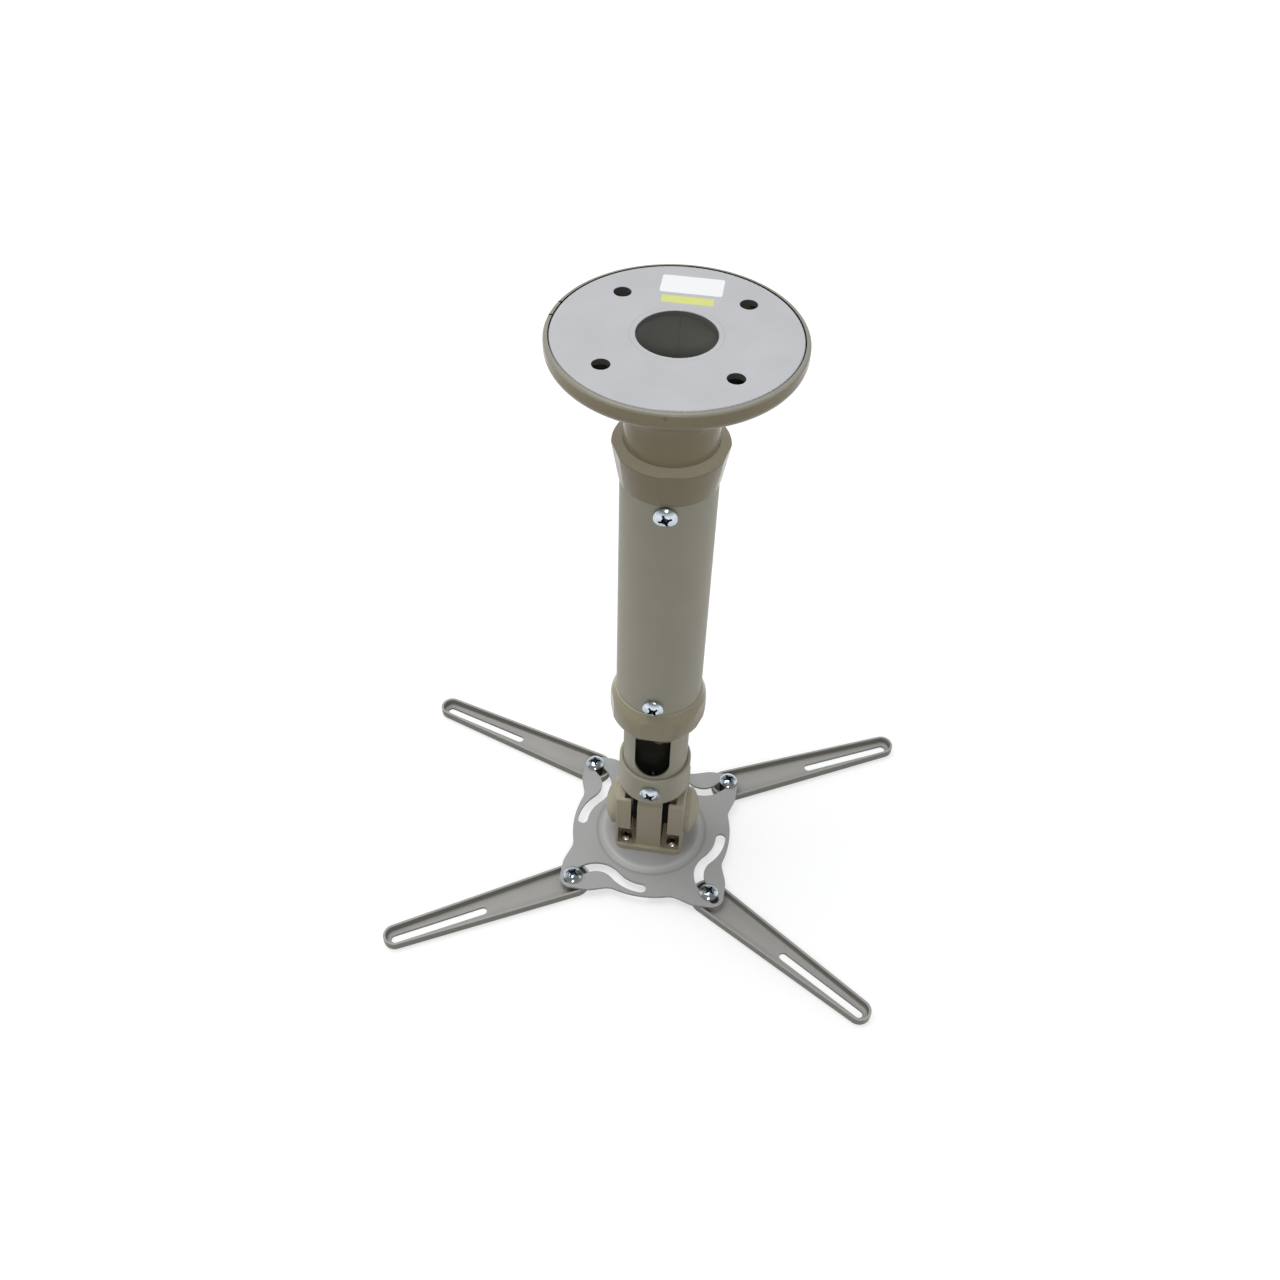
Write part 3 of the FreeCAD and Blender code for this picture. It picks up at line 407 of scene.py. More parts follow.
# Blank labels
# Two paper labels stuck behind the cable hole, one white and one yellow, both without print.
# Each is a thin sheet with rounded corners, pressed into the soft paint.
def paper_label(name, centre, width, depth, corner, colour):
    """Bare sheet with rounded corners, lying on the plate."""
    paper_thick, paper_proud, corner_steps = 0.06 * MM, 0.01 * MM, 4
    outline = []
    for sx, sy, start in ((1, 1, 0), (-1, 1, 90), (-1, -1, 180), (1, -1, 270)):
        for step in range(corner_steps + 1):
            angle = math.radians(start + step * 90 / corner_steps)
            outline.append((centre[0] + sx * (width / 2 - corner) + corner * math.cos(angle),
                            centre[1] + sy * (depth / 2 - corner) + corner * math.sin(angle)))
    made = bmesh.new()
    foot = paper_proud - paper_thick
    base = made.faces.new([made.verts.new((x, y, foot)) for x, y in outline])
    grown = bmesh.ops.extrude_face_region(made, geom=[base])
    for item in grown["geom"]:
        if isinstance(item, bmesh.types.BMVert):
            item.co.z += paper_thick
    bmesh.ops.recalc_face_normals(made, faces=made.faces)
    mesh = bpy.data.meshes.new(name)
    made.to_mesh(mesh)
    made.free()
    label = bpy.data.objects.new(name, mesh)
    bpy.context.scene.collection.objects.link(label)
    paper = Finish(name + "_paper")
    fibre = paper.spread(paper.noise(1.2 * MM, 4.0), 0.3, 0.7, 0.0, 1.0)
    paper.link(paper.blend(fibre, shaded(colour, 0.96), colour), paper.shader.inputs["Base Color"])
    paper.shader.inputs["Roughness"].default_value = 0.6
    paper.link(paper.raise_by(fibre, 0.006 * MM), paper.shader.inputs["Normal"])
    mesh.materials.append(paper.material)
    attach(label, "column")


paper_label("white_label", (1.9 * MM, 40.8 * MM), 29.5 * MM, 14.9 * MM, 1.2 * MM,
            (0.85, 0.855, 0.85))
paper_label("yellow_label", (1.2 * MM, 27.7 * MM), 24.3 * MM, 6.0 * MM, 0.6 * MM,
            (0.66, 0.69, 0.21))


# Stub tube
# A short welded tube under the plate that the mount hangs on. Its lengthwise weld seam shows
# on the far side of the cable hole as a fine raised line.
tube_grey = (0.43, 0.408, 0.318)
stub_paint = powder_paint("stub_tube_paint", (0.31, 0.31, 0.28), 0.5)
fit(clean_copy("stub_tube"), "stub_tube", stub_paint.material)

seam_angle = math.radians(94.0)
stub_bore = 20.55 * MM
seam_low, seam_high = -97 * MM, -2 * MM


def seam_tree():
    """Row of low flat ripples along a line, as a tube mill's weld leaves them."""
    tree = bpy.data.node_groups.new("weld_seam", "GeometryNodeTree")
    face = tree.interface
    face.new_socket("Geometry", in_out="INPUT", socket_type="NodeSocketGeometry")
    for name in ("Ripple Length", "Ripple Half Width", "Ripple Height"):
        face.new_socket(name, in_out="INPUT", socket_type="NodeSocketFloat")
    face.new_socket("Material", in_out="INPUT", socket_type="NodeSocketMaterial")
    face.new_socket("Geometry", in_out="OUTPUT", socket_type="NodeSocketGeometry")
    nodes, links = tree.nodes, tree.links
    given = nodes.new("NodeGroupInput")
    result = nodes.new("NodeGroupOutput")
    to_curve = nodes.new("GeometryNodeMeshToCurve")
    links.new(given.outputs["Geometry"], to_curve.inputs["Mesh"])
    resample = nodes.new("GeometryNodeResampleCurve")
    resample.mode = "LENGTH"
    links.new(to_curve.outputs["Curve"], resample.inputs["Curve"])
    links.new(given.outputs["Ripple Length"], resample.inputs["Length"])
    drop = nodes.new("GeometryNodeMeshUVSphere")
    drop.inputs["Segments"].default_value = 8
    drop.inputs["Rings"].default_value = 5
    drop.inputs["Radius"].default_value = 1.0
    size = nodes.new("ShaderNodeCombineXYZ")
    links.new(given.outputs["Ripple Half Width"], size.inputs["X"])
    links.new(given.outputs["Ripple Height"], size.inputs["Y"])
    links.new(given.outputs["Ripple Length"], size.inputs["Z"])
    place = nodes.new("GeometryNodeInstanceOnPoints")
    links.new(resample.outputs["Curve"], place.inputs["Points"])
    links.new(drop.outputs["Mesh"], place.inputs["Instance"])
    links.new(size.outputs["Vector"], place.inputs["Scale"])
    real = nodes.new("GeometryNodeRealizeInstances")
    links.new(place.outputs["Instances"], real.inputs["Geometry"])
    smooth = nodes.new("GeometryNodeSetShadeSmooth")
    links.new(real.outputs["Geometry"], smooth.inputs["Geometry"])
    paint = nodes.new("GeometryNodeSetMaterial")
    links.new(smooth.outputs["Geometry"], paint.inputs["Geometry"])
    links.new(given.outputs["Material"], paint.inputs["Material"])
    links.new(paint.outputs["Geometry"], result.inputs["Geometry"])
    return tree


def grow(name, base, tree, values):
    """Run a node tree on a base mesh with named values, and keep the result as a plain mesh."""
    carrier = bpy.data.objects.new(name + "_base", base)
    bpy.context.scene.collection.objects.link(carrier)
    step = carrier.modifiers.new("grow", "NODES")
    step.node_group = tree
    for item in tree.interface.items_tree:
        if item.item_type == "SOCKET" and item.in_out == "INPUT" and item.name in values:
            step[item.identifier] = values[item.name]
    bpy.context.view_layer.update()
    ready = carrier.evaluated_get(bpy.context.evaluated_depsgraph_get())
    mesh = bpy.data.meshes.new_from_object(ready)
    bpy.data.objects.remove(carrier)
    piece = bpy.data.objects.new(name, mesh)
    bpy.context.scene.collection.objects.link(piece)
    return piece


seam_x, seam_y = stub_bore * math.cos(seam_angle), stub_bore * math.sin(seam_angle)
seam_line = bpy.data.meshes.new("seam_line")
seam_line.from_pydata([(seam_x, seam_y, seam_low), (seam_x, seam_y, seam_high)], [(0, 1)], [])
seam = grow("stub_weld_seam", seam_line, seam_tree(), {
    "Ripple Length": 0.7 * MM, "Ripple Half Width": 0.7 * MM, "Ripple Height": 0.25 * MM,
    "Material": stub_paint.material,
})
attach(seam, "column")


# Canopy
# A glossy moulding that hides the ceiling plate: a bowl that runs down into a neck, with five
# flats cut into the flare and two snap slits at the back left of its rim.
cover_beige = (0.335, 0.285, 0.185)


def glossy_plastic(name, colour, roughness=0.18):
    """Polished moulding: even colour, a faint flow cloud and very low waviness."""
    plastic = Finish(name)
    cloud = plastic.spread(plastic.noise(34 * MM, 2.0), 0.3, 0.7, 0.0, 1.0)
    plastic.tone = plastic.blend(cloud, shaded(colour, 0.97), shaded(colour, 1.03))
    plastic.link(plastic.tone, plastic.shader.inputs["Base Color"])
    plastic.shader.inputs["Specular IOR Level"].default_value = 0.16
    hazy = plastic.spread(plastic.noise(9 * MM, 2.0, 5.2), 0.3, 0.7, -0.02, 0.04)
    plastic.link(plastic.sum(hazy, roughness), plastic.shader.inputs["Roughness"])
    plastic.normal = plastic.raise_by(plastic.noise(14 * MM, 0.0, 2.2), 0.02 * MM)
    plastic.link(plastic.normal, plastic.shader.inputs["Normal"])
    return plastic


def spot(paint, centre, reach):
    """1 inside a ragged patch round a point, 0 outside it."""
    away = paint.add("ShaderNodeVectorMath", operation="DISTANCE")
    paint.link(paint.place, away.inputs[0])
    away.inputs[1].default_value = centre
    ragged = paint.sum(away.outputs["Value"], paint.spread(paint.noise(0.8 * MM, 3.0, 9.0),
                                                           0.3, 0.7, -0.5 * reach, 0.5 * reach))
    return paint.spread(ragged, 0.6 * reach, reach, 1.0, 0.0)


scuff_place, scuff_reach = (3.0 * MM, -60.1 * MM, -2.2 * MM), 1.3 * MM
scuff_brown, rim_top_painted_sheen, shade = (0.07, 0.06, 0.045), (0.30, 0.285, 0.24), (0.03, 0.028, 0.022)
gap_r, slit_half, slit_depth, rim_inside = 57.95 * MM, 0.5 * MM, 6.9 * MM, 55 * MM
snap_slit_angles = (164.2, 175.5)
canopy_plastic = glossy_plastic("canopy_plastic", cover_beige)
scuff = spot(canopy_plastic, scuff_place, scuff_reach)
canopy_tone = canopy_plastic.blend(canopy_plastic.spread(scuff, 0, 1, 0, 0.3),
                                   canopy_plastic.tone, scuff_brown)
from_axis = radius_of(canopy_plastic)
# The top face of the rim is painted a greyer tone: a painted sheen of the light above.
on_top = canopy_plastic.spread(canopy_plastic.along((0, 0, 1)), -1.6 * MM, -0.4 * MM, 0.0, 1.0)
canopy_tone = canopy_plastic.blend(on_top, canopy_tone, rim_top_painted_sheen)
in_gap = canopy_plastic.sum(
    canopy_plastic.spread(from_axis, gap_r, gap_r + 0.05 * MM, 1.0, 0.0),
    canopy_plastic.spread(from_axis, gap_r - 1.0 * MM, gap_r - 0.9 * MM, 0.0, 1.0), "MULTIPLY")
canopy_tone = canopy_plastic.blend(in_gap, canopy_tone, shade)
for slit_angle in snap_slit_angles:
    turned = math.radians(slit_angle)
    off_slit = canopy_plastic.along((-math.sin(turned), math.cos(turned), 0))
    in_slit = canopy_plastic.spread(canopy_plastic.sum(off_slit, 0.0, "ABSOLUTE"),
                                    slit_half, slit_half + 0.08 * MM, 1.0, 0.0)
    outward = canopy_plastic.along((math.cos(turned), math.sin(turned), 0))
    at_rim = canopy_plastic.spread(outward, rim_inside, rim_inside + 0.1 * MM, 0.0, 1.0)
    above = canopy_plastic.spread(canopy_plastic.along((0, 0, 1)), -slit_depth, -slit_depth + 0.1 * MM,
                                  0.0, 1.0)
    in_slit = canopy_plastic.sum(canopy_plastic.sum(in_slit, at_rim, "MULTIPLY"), above, "MULTIPLY")
    canopy_tone = canopy_plastic.blend(in_slit, canopy_tone, shade)
canopy_plastic.link(canopy_tone, canopy_plastic.shader.inputs["Base Color"])
fit(clean_copy("ceiling_canopy", 0.25 * MM, crease=12.0), "ceiling_canopy", canopy_plastic.material)


# Collars
# Two glossy mouldings with five finger flats each, painted paler where they face up as a
# painted highlight. The upper one covers the joint of canopy and tube, the lower one closes
# the foot of the outer tube.
def facing_up(paint, steep, level):
    """0 on steep faces, 1 on level ones, between two heights of the face's own direction."""
    split = paint.add("ShaderNodeSeparateXYZ")
    paint.link(paint.add("ShaderNodeTexCoord").outputs["Normal"], split.inputs["Vector"])
    return paint.spread(split.outputs["Z"], steep, level, 0.0, 1.0)


collar_browns = {"upper_collar": shaded(cover_beige, 0.95), "lower_collar": (0.40, 0.35, 0.24)}
lip_painted_highlight = (0.60, 0.545, 0.42)
for ring, brown in collar_browns.items():
    plastic = glossy_plastic(ring + "_plastic", brown)
    # Faces that look up are painted paler: a painted highlight.
    plastic.link(plastic.blend(facing_up(plastic, 0.45, 0.8), plastic.tone, lip_painted_highlight),
                 plastic.shader.inputs["Base Color"])
    fit(clean_copy(ring, 0.3 * MM, crease=14.0), ring, plastic.material)


# Outer tube
# Drawn steel tube of 50 mm in a warm grey satin powder paint, with a clearance hole for the
# upper screw and a drawn thread for the lower one.
tube_paint = powder_paint("tube_powder_paint", tube_grey, 0.45)
fit(clean_copy("outer_tube", 0.2 * MM), "outer_tube", tube_paint.material)


# Cross recessed screws
# Zinc plated steel pan heads. The larger ones clamp the tubes and hold the arms, the small
# yellowed ones hold the tilting block on the star plate.
def screw_tree():
    """Pan head screws on the points of a mesh, each turned by the point's own rotation."""
    tree = bpy.data.node_groups.new("cross_head_screw", "GeometryNodeTree")
    face = tree.interface
    face.new_socket("Geometry", in_out="INPUT", socket_type="NodeSocketGeometry")
    for name in ("Head Radius", "Head Height", "Dome Radius", "Shank Radius", "Shank Length",
                 "Pitch", "Cross Reach", "Cross Width", "Cross Depth"):
        face.new_socket(name, in_out="INPUT", socket_type="NodeSocketFloat")
    for name in ("Material", "Recess Material"):
        face.new_socket(name, in_out="INPUT", socket_type="NodeSocketMaterial")
    face.new_socket("Geometry", in_out="OUTPUT", socket_type="NodeSocketGeometry")
    nodes, links = tree.nodes, tree.links
    given = nodes.new("NodeGroupInput")
    result = nodes.new("NodeGroupOutput")

    def sum_of(first, second, operation="ADD"):
        node = nodes.new("ShaderNodeMath")
        node.operation = operation
        for socket, item in zip(node.inputs, (first, second)):
            if isinstance(item, (int, float)):
                socket.default_value = item
            else:
                links.new(item, socket)
        return node.outputs[0]

    def lifted(mesh, up):
        node = nodes.new("GeometryNodeTransform")
        links.new(mesh, node.inputs["Geometry"])
        place = nodes.new("ShaderNodeCombineXYZ")
        links.new(up, place.inputs["Z"])
        links.new(place.outputs["Vector"], node.inputs["Translation"])
        return node.outputs["Geometry"]

    def painted(mesh, name, chosen=None):
        node = nodes.new("GeometryNodeSetMaterial")
        links.new(mesh, node.inputs["Geometry"])
        links.new(given.outputs[name], node.inputs["Material"])
        if chosen is not None:
            links.new(chosen, node.inputs["Selection"])
        return node.outputs["Geometry"]

    def boolean(operation, first, others):
        node = nodes.new("GeometryNodeMeshBoolean")
        node.operation = operation
        node.solver = "EXACT"
        if operation == "DIFFERENCE":
            links.new(first, node.inputs["Mesh 1"])
        else:
            links.new(first, node.inputs["Mesh 2"])
        for other in others:
            links.new(other, node.inputs["Mesh 2"])
        return node.outputs["Mesh"]

    drum = nodes.new("GeometryNodeMeshCylinder")
    drum.inputs["Vertices"].default_value = 48
    links.new(given.outputs["Head Radius"], drum.inputs["Radius"])
    links.new(given.outputs["Head Height"], drum.inputs["Depth"])
    drum_up = sum_of(given.outputs["Head Height"], 0.5, "MULTIPLY")
    ball = nodes.new("GeometryNodeMeshUVSphere")
    ball.inputs["Segments"].default_value = 64
    ball.inputs["Rings"].default_value = 48
    links.new(given.outputs["Dome Radius"], ball.inputs["Radius"])
    ball_up = sum_of(given.outputs["Head Height"], given.outputs["Dome Radius"], "SUBTRACT")
    head = boolean("INTERSECT", lifted(drum.outputs["Mesh"], drum_up),
                   [lifted(ball.outputs["Mesh"], ball_up)])

    reach = sum_of(given.outputs["Cross Reach"], 2.0, "MULTIPLY")
    depth = sum_of(given.outputs["Cross Depth"], 2.0, "MULTIPLY")
    blades = []
    for lengthwise, crosswise in ((reach, given.outputs["Cross Width"]),
                                  (given.outputs["Cross Width"], reach)):
        size = nodes.new("ShaderNodeCombineXYZ")
        links.new(lengthwise, size.inputs["X"])
        links.new(crosswise, size.inputs["Y"])
        links.new(depth, size.inputs["Z"])
        blade = nodes.new("GeometryNodeMeshCube")
        links.new(size.outputs["Vector"], blade.inputs["Size"])
        blades.append(lifted(blade.outputs["Mesh"], given.outputs["Head Height"]))
    pit = nodes.new("GeometryNodeMeshCone")
    pit.inputs["Vertices"].default_value = 24
    links.new(sum_of(given.outputs["Cross Reach"], 0.62, "MULTIPLY"), pit.inputs["Radius Top"])
    links.new(sum_of(given.outputs["Cross Width"], 0.3, "MULTIPLY"), pit.inputs["Radius Bottom"])
    links.new(sum_of(given.outputs["Cross Depth"], 1.15, "MULTIPLY"), pit.inputs["Depth"])
    pit_up = sum_of(given.outputs["Head Height"],
                    sum_of(given.outputs["Cross Depth"], 1.14, "MULTIPLY"), "SUBTRACT")
    blades.append(lifted(pit.outputs["Mesh"], pit_up))
    head = boolean("DIFFERENCE", head, [painted(blade, "Recess Material") for blade in blades])

    core_r = sum_of(given.outputs["Shank Radius"],
                    sum_of(given.outputs["Pitch"], 0.5, "MULTIPLY"), "SUBTRACT")
    core = nodes.new("GeometryNodeMeshCylinder")
    core.inputs["Vertices"].default_value = 32
    links.new(core_r, core.inputs["Radius"])
    links.new(given.outputs["Shank Length"], core.inputs["Depth"])
    core_up = sum_of(given.outputs["Shank Length"], -0.5, "MULTIPLY")
    spiral = nodes.new("GeometryNodeCurveSpiral")
    spiral.inputs["Resolution"].default_value = 24
    links.new(sum_of(given.outputs["Shank Length"], given.outputs["Pitch"], "DIVIDE"),
              spiral.inputs["Rotations"])
    for name in ("Start Radius", "End Radius"):
        links.new(core_r, spiral.inputs[name])
    links.new(given.outputs["Shank Length"], spiral.inputs["Height"])
    ridge = nodes.new("GeometryNodeCurvePrimitiveCircle")
    ridge.inputs["Resolution"].default_value = 4
    links.new(sum_of(given.outputs["Pitch"], 0.5, "MULTIPLY"), ridge.inputs["Radius"])
    thread = nodes.new("GeometryNodeCurveToMesh")
    links.new(spiral.outputs["Curve"], thread.inputs["Curve"])
    links.new(ridge.outputs["Curve"], thread.inputs["Profile Curve"])
    thread.inputs["Fill Caps"].default_value = True
    thread_up = sum_of(given.outputs["Shank Length"], -1.0, "MULTIPLY")

    joined = nodes.new("GeometryNodeJoinGeometry")
    for part in (lifted(thread.outputs["Mesh"], thread_up),
                 lifted(core.outputs["Mesh"], core_up), head):
        links.new(part, joined.inputs["Geometry"])
    turn = nodes.new("GeometryNodeInputNamedAttribute")
    turn.data_type = "FLOAT_VECTOR"
    turn.inputs["Name"].default_value = "turn"
    rotation = nodes.new("FunctionNodeEulerToRotation")
    links.new(turn.outputs["Attribute"], rotation.inputs["Euler"])
    place = nodes.new("GeometryNodeInstanceOnPoints")
    links.new(given.outputs["Geometry"], place.inputs["Points"])
    links.new(joined.outputs["Geometry"], place.inputs["Instance"])
    links.new(rotation.outputs["Rotation"], place.inputs["Rotation"])
    real = nodes.new("GeometryNodeRealizeInstances")
    links.new(place.outputs["Instances"], real.inputs["Geometry"])
    in_recess = nodes.new("GeometryNodeMaterialSelection")
    links.new(given.outputs["Recess Material"], in_recess.inputs["Material"])
    outside = nodes.new("FunctionNodeBooleanMath")
    outside.operation = "NOT"
    links.new(in_recess.outputs["Selection"], outside.inputs[0])
    links.new(painted(real.outputs["Geometry"], "Material", outside.outputs[0]),
              result.inputs["Geometry"])
    return tree


def plated(name, colour, roughness):
    """Zinc plated steel: bright, faintly clouded, with fine turning marks."""
    metal = Finish(name)
    metal.shader.inputs["Metallic"].default_value = 1.0
    cloud = metal.spread(metal.noise(2.4 * MM, 2.0), 0.3, 0.7, 0.0, 1.0)
    metal.link(metal.blend(cloud, shaded(colour, 0.8), colour), metal.shader.inputs["Base Color"])
    metal.link(metal.sum(metal.spread(cloud, 0, 1, -0.04, 0.05), roughness),
               metal.shader.inputs["Roughness"])
    metal.link(metal.raise_by(metal.noise(0.4 * MM, 1.0, 4.0), 0.004 * MM),
               metal.shader.inputs["Normal"])
    return metal


screw_shape = screw_tree()
bright_zinc = plated("bright_zinc", (0.60, 0.665, 0.715), 0.17)
yellow_zinc = plated("yellow_zinc", (0.78, 0.70, 0.57), 0.3)
# The cross recesses are near black metal: painted shade in them.
blue_shade = plated("recess_painted_shade", (0.07, 0.105, 0.14), 0.3)
brown_shade = plated("yellow_recess_painted_shade", (0.06, 0.05, 0.04), 0.35)


def screws(name, body, seats, length, size, material, recess=blue_shade.material):
    """Screws of one body. A seat is a node, its head's place, outward direction and own turn."""
    head_r, head_h, shank_r, pitch = size
    base = bpy.data.meshes.new(name + "_seats")
    base.from_pydata([seat[1] for seat in seats], [], [])
    turns = base.attributes.new("turn", "FLOAT_VECTOR", "POINT")
    for item, (_, _, outward, spin) in zip(turns.data, seats):
        facing = Vector(outward).to_track_quat("Z", "Y").to_matrix()
        own = Matrix.Rotation(math.radians(spin), 3, "Z")
        item.vector = (facing @ own).to_euler("XYZ")
    piece = grow(name, base, screw_shape, {
        "Head Radius": head_r, "Head Height": head_h, "Dome Radius": head_r * 1.45,
        "Shank Radius": shank_r, "Shank Length": length, "Pitch": pitch,
        "Cross Reach": head_r * 0.58, "Cross Width": head_r * 0.22, "Cross Depth": head_h * 0.62,
        "Material": material, "Recess Material": recess,
    })
    for face in piece.data.polygons:
        face.use_smooth = True
    piece.data.set_sharp_from_angle(angle=math.radians(30))
    soft = piece.modifiers.new("soft_edges", "BEVEL")
    soft.width = head_r * 0.045
    soft.segments = 2
    soft.limit_method = "ANGLE"
    soft.angle_limit = math.radians(35)
    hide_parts(*[seat[0] for seat in seats])
    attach(piece, body)


def middle(node):
    low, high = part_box(node)
    return (low + high) / 2


def side_seat(node, seat_r, spin):
    """Seat of a screw that points at the mount's axis."""
    centre = middle(node)
    outward = Vector((centre.x, centre.y, 0)).normalized()
    return node, tuple(outward * seat_r + Vector((0, 0, centre.z))), tuple(outward), spin


# Head radius, head height, shank radius and pitch
m6 = (6.0 * MM, 4.2 * MM, 3.0 * MM, 1.0 * MM)
m4 = (4.0 * MM, 3.0 * MM, 2.0 * MM, 0.7 * MM)
screws("upper_screw", "column", [side_seat("upper_clamp_screw", 25.0 * MM, 20)],
       10 * MM, m6, bright_zinc.material)
screws("lower_screw", "column", [side_seat("lower_clamp_screw", 25.25 * MM, 38)],
       5.2 * MM, m6, bright_zinc.material)
screws("cup_screw", "drop_tube", [side_seat("socket_screw", 22.4 * MM, 30)],
       16 * MM, m6, bright_zinc.material)

small_length = 8 * MM
small_seats = []
for spin, (row, side) in enumerate((r, s) for r in ("front", "back") for s in ("left", "right")):
    node = "housing_screw_%s_%s" % (row, side)
    centre = middle(node)
    seat_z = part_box(node)[0].z + small_length
    small_seats.append((node, (centre.x, centre.y, seat_z), (0, 0, 1), 15 + 40 * spin))
screws("block_screws", "head", small_seats, small_length, m4, yellow_zinc.material,
       brown_shade.material)

arm_screw_length = 8 * MM
arm_names = ("back_left", "back_right", "front_right", "front_left")
for spin, name in zip((12, 35, 55, 70), arm_names):
    node = "arm_screw_" + name
    centre = middle(node)
    seat_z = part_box(node)[0].z + arm_screw_length
    screws("screw_of_arm_" + name, "arm_slider_" + name,
           [(node, (centre.x, centre.y, seat_z), (0, 0, 1), spin)],
           arm_screw_length, m6, bright_zinc.material)


# Inner tube and guide bush
# The sliding tube wears the same paint as the outer one and is painted near black inside,
# as painted shade in its bore. The black bush on its head never leaves the outer tube.
def painted_shade_inside(name, colour, skin_r=19.0 * MM):
    """Sprayed paint on the outside of a round piece, near black nearer to its axis as painted shade.
    """
    inside_painted_shade = (0.075, 0.072, 0.058)
    paint = powder_paint(name, colour, 0.45)
    painted = paint.spread(radius_of(paint), skin_r - 0.2 * MM, skin_r, 0.0, 1.0)
    paint.link(paint.blend(painted, inside_painted_shade, paint.tone), paint.shader.inputs["Base Color"])
    return paint


fit(clean_copy("inner_tube", 0.2 * MM), "inner_tube",
    painted_shade_inside("inner_tube_paint", tube_grey).material)


def matt_plastic(name, colour, roughness=0.5, grain_depth=0.012 * MM):
    """Moulded plastic with the fine spark-eroded grain of its tool."""
    plastic = Finish(name)
    cloud = plastic.spread(plastic.noise(22 * MM), 0.3, 0.7, 0.0, 1.0)
    plastic.tone = plastic.blend(cloud, shaded(colour, 0.96), shaded(colour, 1.03))
    plastic.link(plastic.tone, plastic.shader.inputs["Base Color"])
    grain = plastic.noise(0.35 * MM, 3.0, 6.0)
    plastic.link(plastic.sum(plastic.spread(grain, 0.3, 0.7, -0.04, 0.06), roughness),
                 plastic.shader.inputs["Roughness"])
    plastic.link(plastic.raise_by(grain, grain_depth), plastic.shader.inputs["Normal"])
    return plastic


bush_black = matt_plastic("bush_plastic", (0.03, 0.03, 0.03))
fit(clean_copy("guide_bush", 0.2 * MM), "guide_bush", bush_black.material)


# Socket cup and bracket
# A turned steel cup with a floor, and under it a folded strip that is welded on. The cup is
# powder painted outside and painted near black inside as painted shade. The strip below it
# is painted near black all over, as painted shade in the block's slits.
fit(clean_copy("socket_cup", 0.3 * MM), "socket_cup",
    painted_shade_inside("cup_powder_paint", shaded(tube_grey, 1.02)).material)
bracket_shade_paint = powder_paint("bracket_painted_shade", (0.018, 0.017, 0.015), 0.8)
bracket_shade_paint.shader.inputs["Specular IOR Level"].default_value = 0.1
fit(clean_copy("tilt_bracket", 0.2 * MM), "tilt_bracket", bracket_shade_paint.material)


# Tilting block
# A thick beige moulding on a square flange, slit for the bracket's legs. The tilt bolt, its
# washers and its nut are under the two round caps.
block_beige = (0.44, 0.39, 0.28)
block_plastic = matt_plastic("block_plastic", block_beige, 0.42)
bar_half, leg_outer, foot_thick = 8.10 * MM, 12.0 * MM, 4.3 * MM
sideways = block_plastic.sum(block_plastic.along((1, 0, 0)), 0.0, "ABSOLUTE")
in_leg_slit = block_plastic.sum(
    block_plastic.spread(sideways, bar_half - 0.1 * MM, bar_half - 0.05 * MM, 0.0, 1.0),
    block_plastic.spread(sideways, leg_outer + 0.05 * MM, leg_outer + 0.1 * MM, 1.0, 0.0), "MULTIPLY")
foot_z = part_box("tilt_housing")[0].z + foot_thick
in_leg_slit = block_plastic.sum(in_leg_slit, block_plastic.spread(
    block_plastic.along((0, 0, 1)), foot_z, foot_z + 0.2 * MM, 0.0, 1.0), "MULTIPLY")
block_plastic.link(block_plastic.blend(in_leg_slit, block_plastic.tone, shade),
                   block_plastic.shader.inputs["Base Color"])
fit(clean_copy("tilt_housing", 0.35 * MM), "tilt_housing", block_plastic.material)
cap_plastic = matt_plastic("cap_plastic", shaded(block_beige, 0.95), 0.42)
for side in ("left", "right"):
    fit(clean_copy("pivot_cap_" + side, 0.2 * MM), "pivot_cap_" + side, cap_plastic.material)

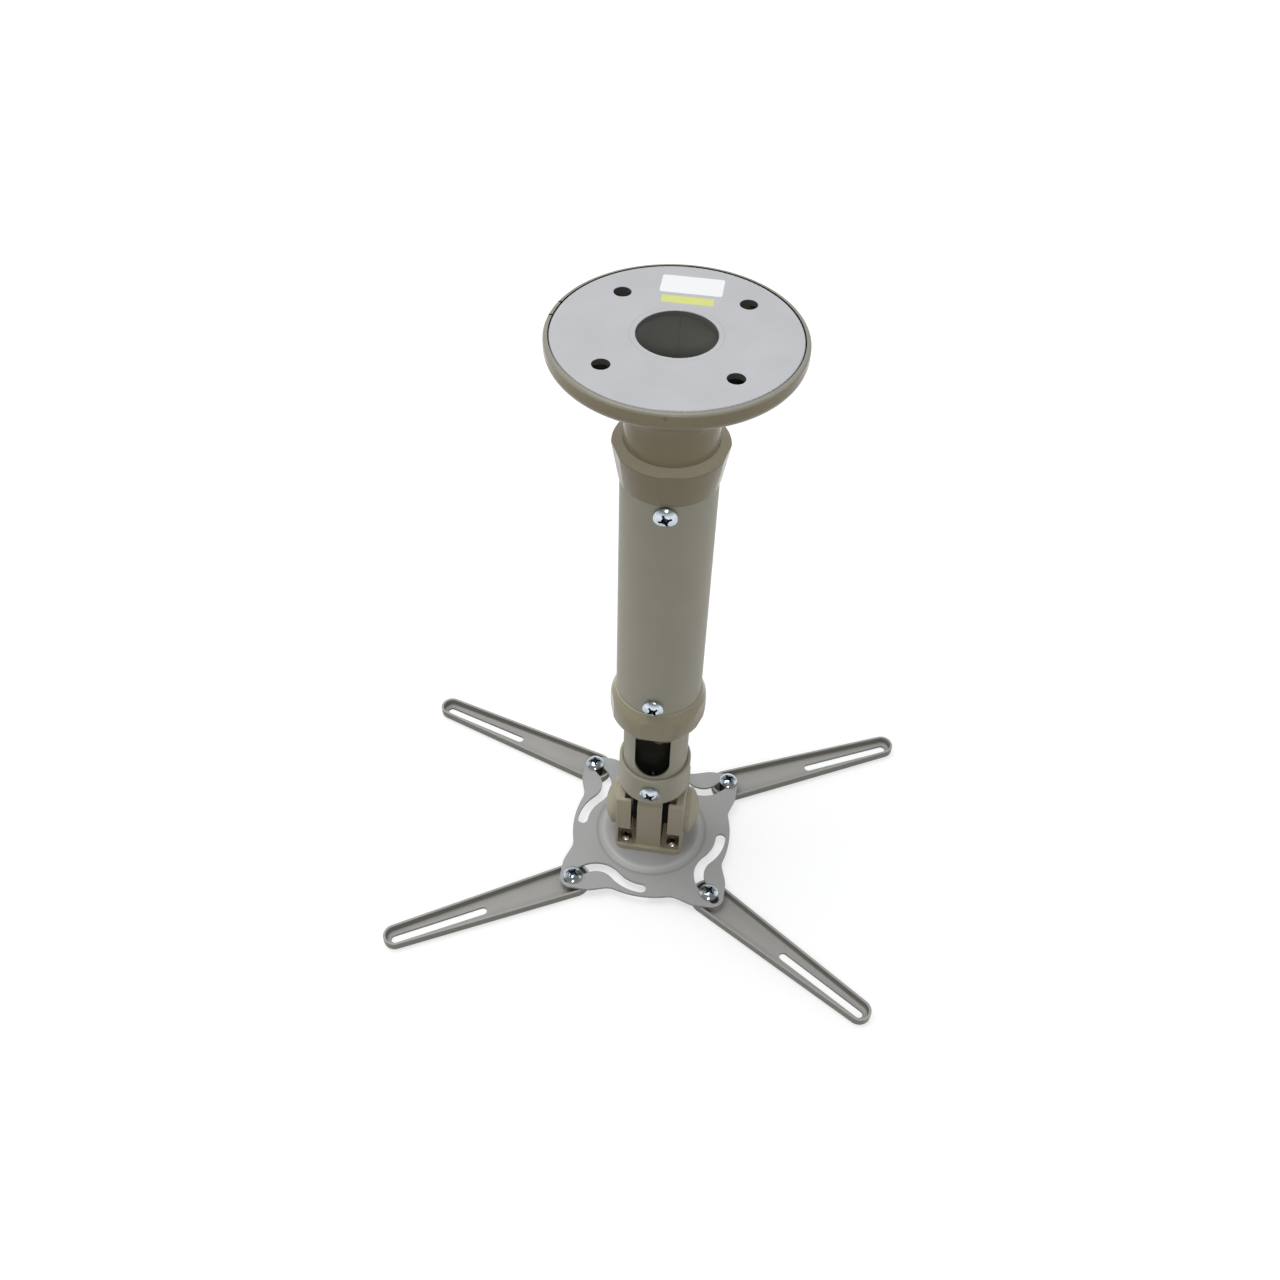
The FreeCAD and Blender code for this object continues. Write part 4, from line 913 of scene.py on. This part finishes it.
plain_steel = plated("plain_steel", (0.5, 0.5, 0.5), 0.35)
for node in ("tilt_bolt", "tilt_washer", "tilt_nut"):
    fit(clean_copy(node, 0.2 * MM), node, plain_steel.material)
for side in ("left", "right"):
    node = "friction_washer_" + side
    fit(clean_copy(node), node, bush_black.material)


# Star plate
# Pressed 2 mm steel with four lobes and a raised middle. Each lobe has a curved slot that the
# arm's screw runs in. The mid grey powder has a painted highlight on the pressed shoulder and
# painted shade at its foot.
star_grey = (0.40, 0.397, 0.39)
star_paint = powder_paint("star_powder_paint", star_grey, 0.36)
foot_r, shoulder_r = 36.4 * MM, 32.2 * MM
# A darker ring at the foot of the raised middle is painted shade, a lighter one on its shoulder a
# painted highlight.
foot = band(star_paint, radius_of(star_paint), foot_r, 1.5 * MM)
shoulder = band(star_paint, radius_of(star_paint), shoulder_r, 2.6 * MM)
star_tone = star_paint.blend(star_paint.spread(foot, 0, 1, 0, 0.6), star_paint.tone,
                             shaded(star_grey, 0.62))
star_tone = star_paint.blend(star_paint.spread(shoulder, 0, 1, 0, 0.7), star_tone,
                             shaded(star_grey, 1.3))
star_paint.link(star_tone, star_paint.shader.inputs["Base Color"])
fit(clean_copy("star_plate", 0.25 * MM, crease=50.0), "star_plate", star_paint.material)
for row in ("front", "back"):
    for side in ("left", "right"):
        node = "housing_nut_%s_%s" % (row, side)
        fit(clean_copy(node, 0.2 * MM), node, plain_steel.material)


# Arms
# Four pressed trays with a long slot near the tip, painted like the star plate, with painted
# shade on their low walls. A threaded bush of browned steel is clinched into each root.
arm_grey, wall_painted_shade = (0.38, 0.37, 0.35), (0.25, 0.237, 0.205)
arm_paint = powder_paint("arm_powder_paint", arm_grey, 0.38)
arm_paint.link(arm_paint.blend(facing_up(arm_paint, 0.3, 0.9), wall_painted_shade, arm_paint.tone),
               arm_paint.shader.inputs["Base Color"])
browned_steel = plated("browned_steel", (0.11, 0.075, 0.06), 0.3)
for name in arm_names:
    fit(clean_copy("arm_" + name, 0.3 * MM, crease=50.0), "arm_" + name, arm_paint.material)
    fit(clean_copy("arm_bush_" + name, 0.2 * MM), "arm_bush_" + name, browned_steel.material)
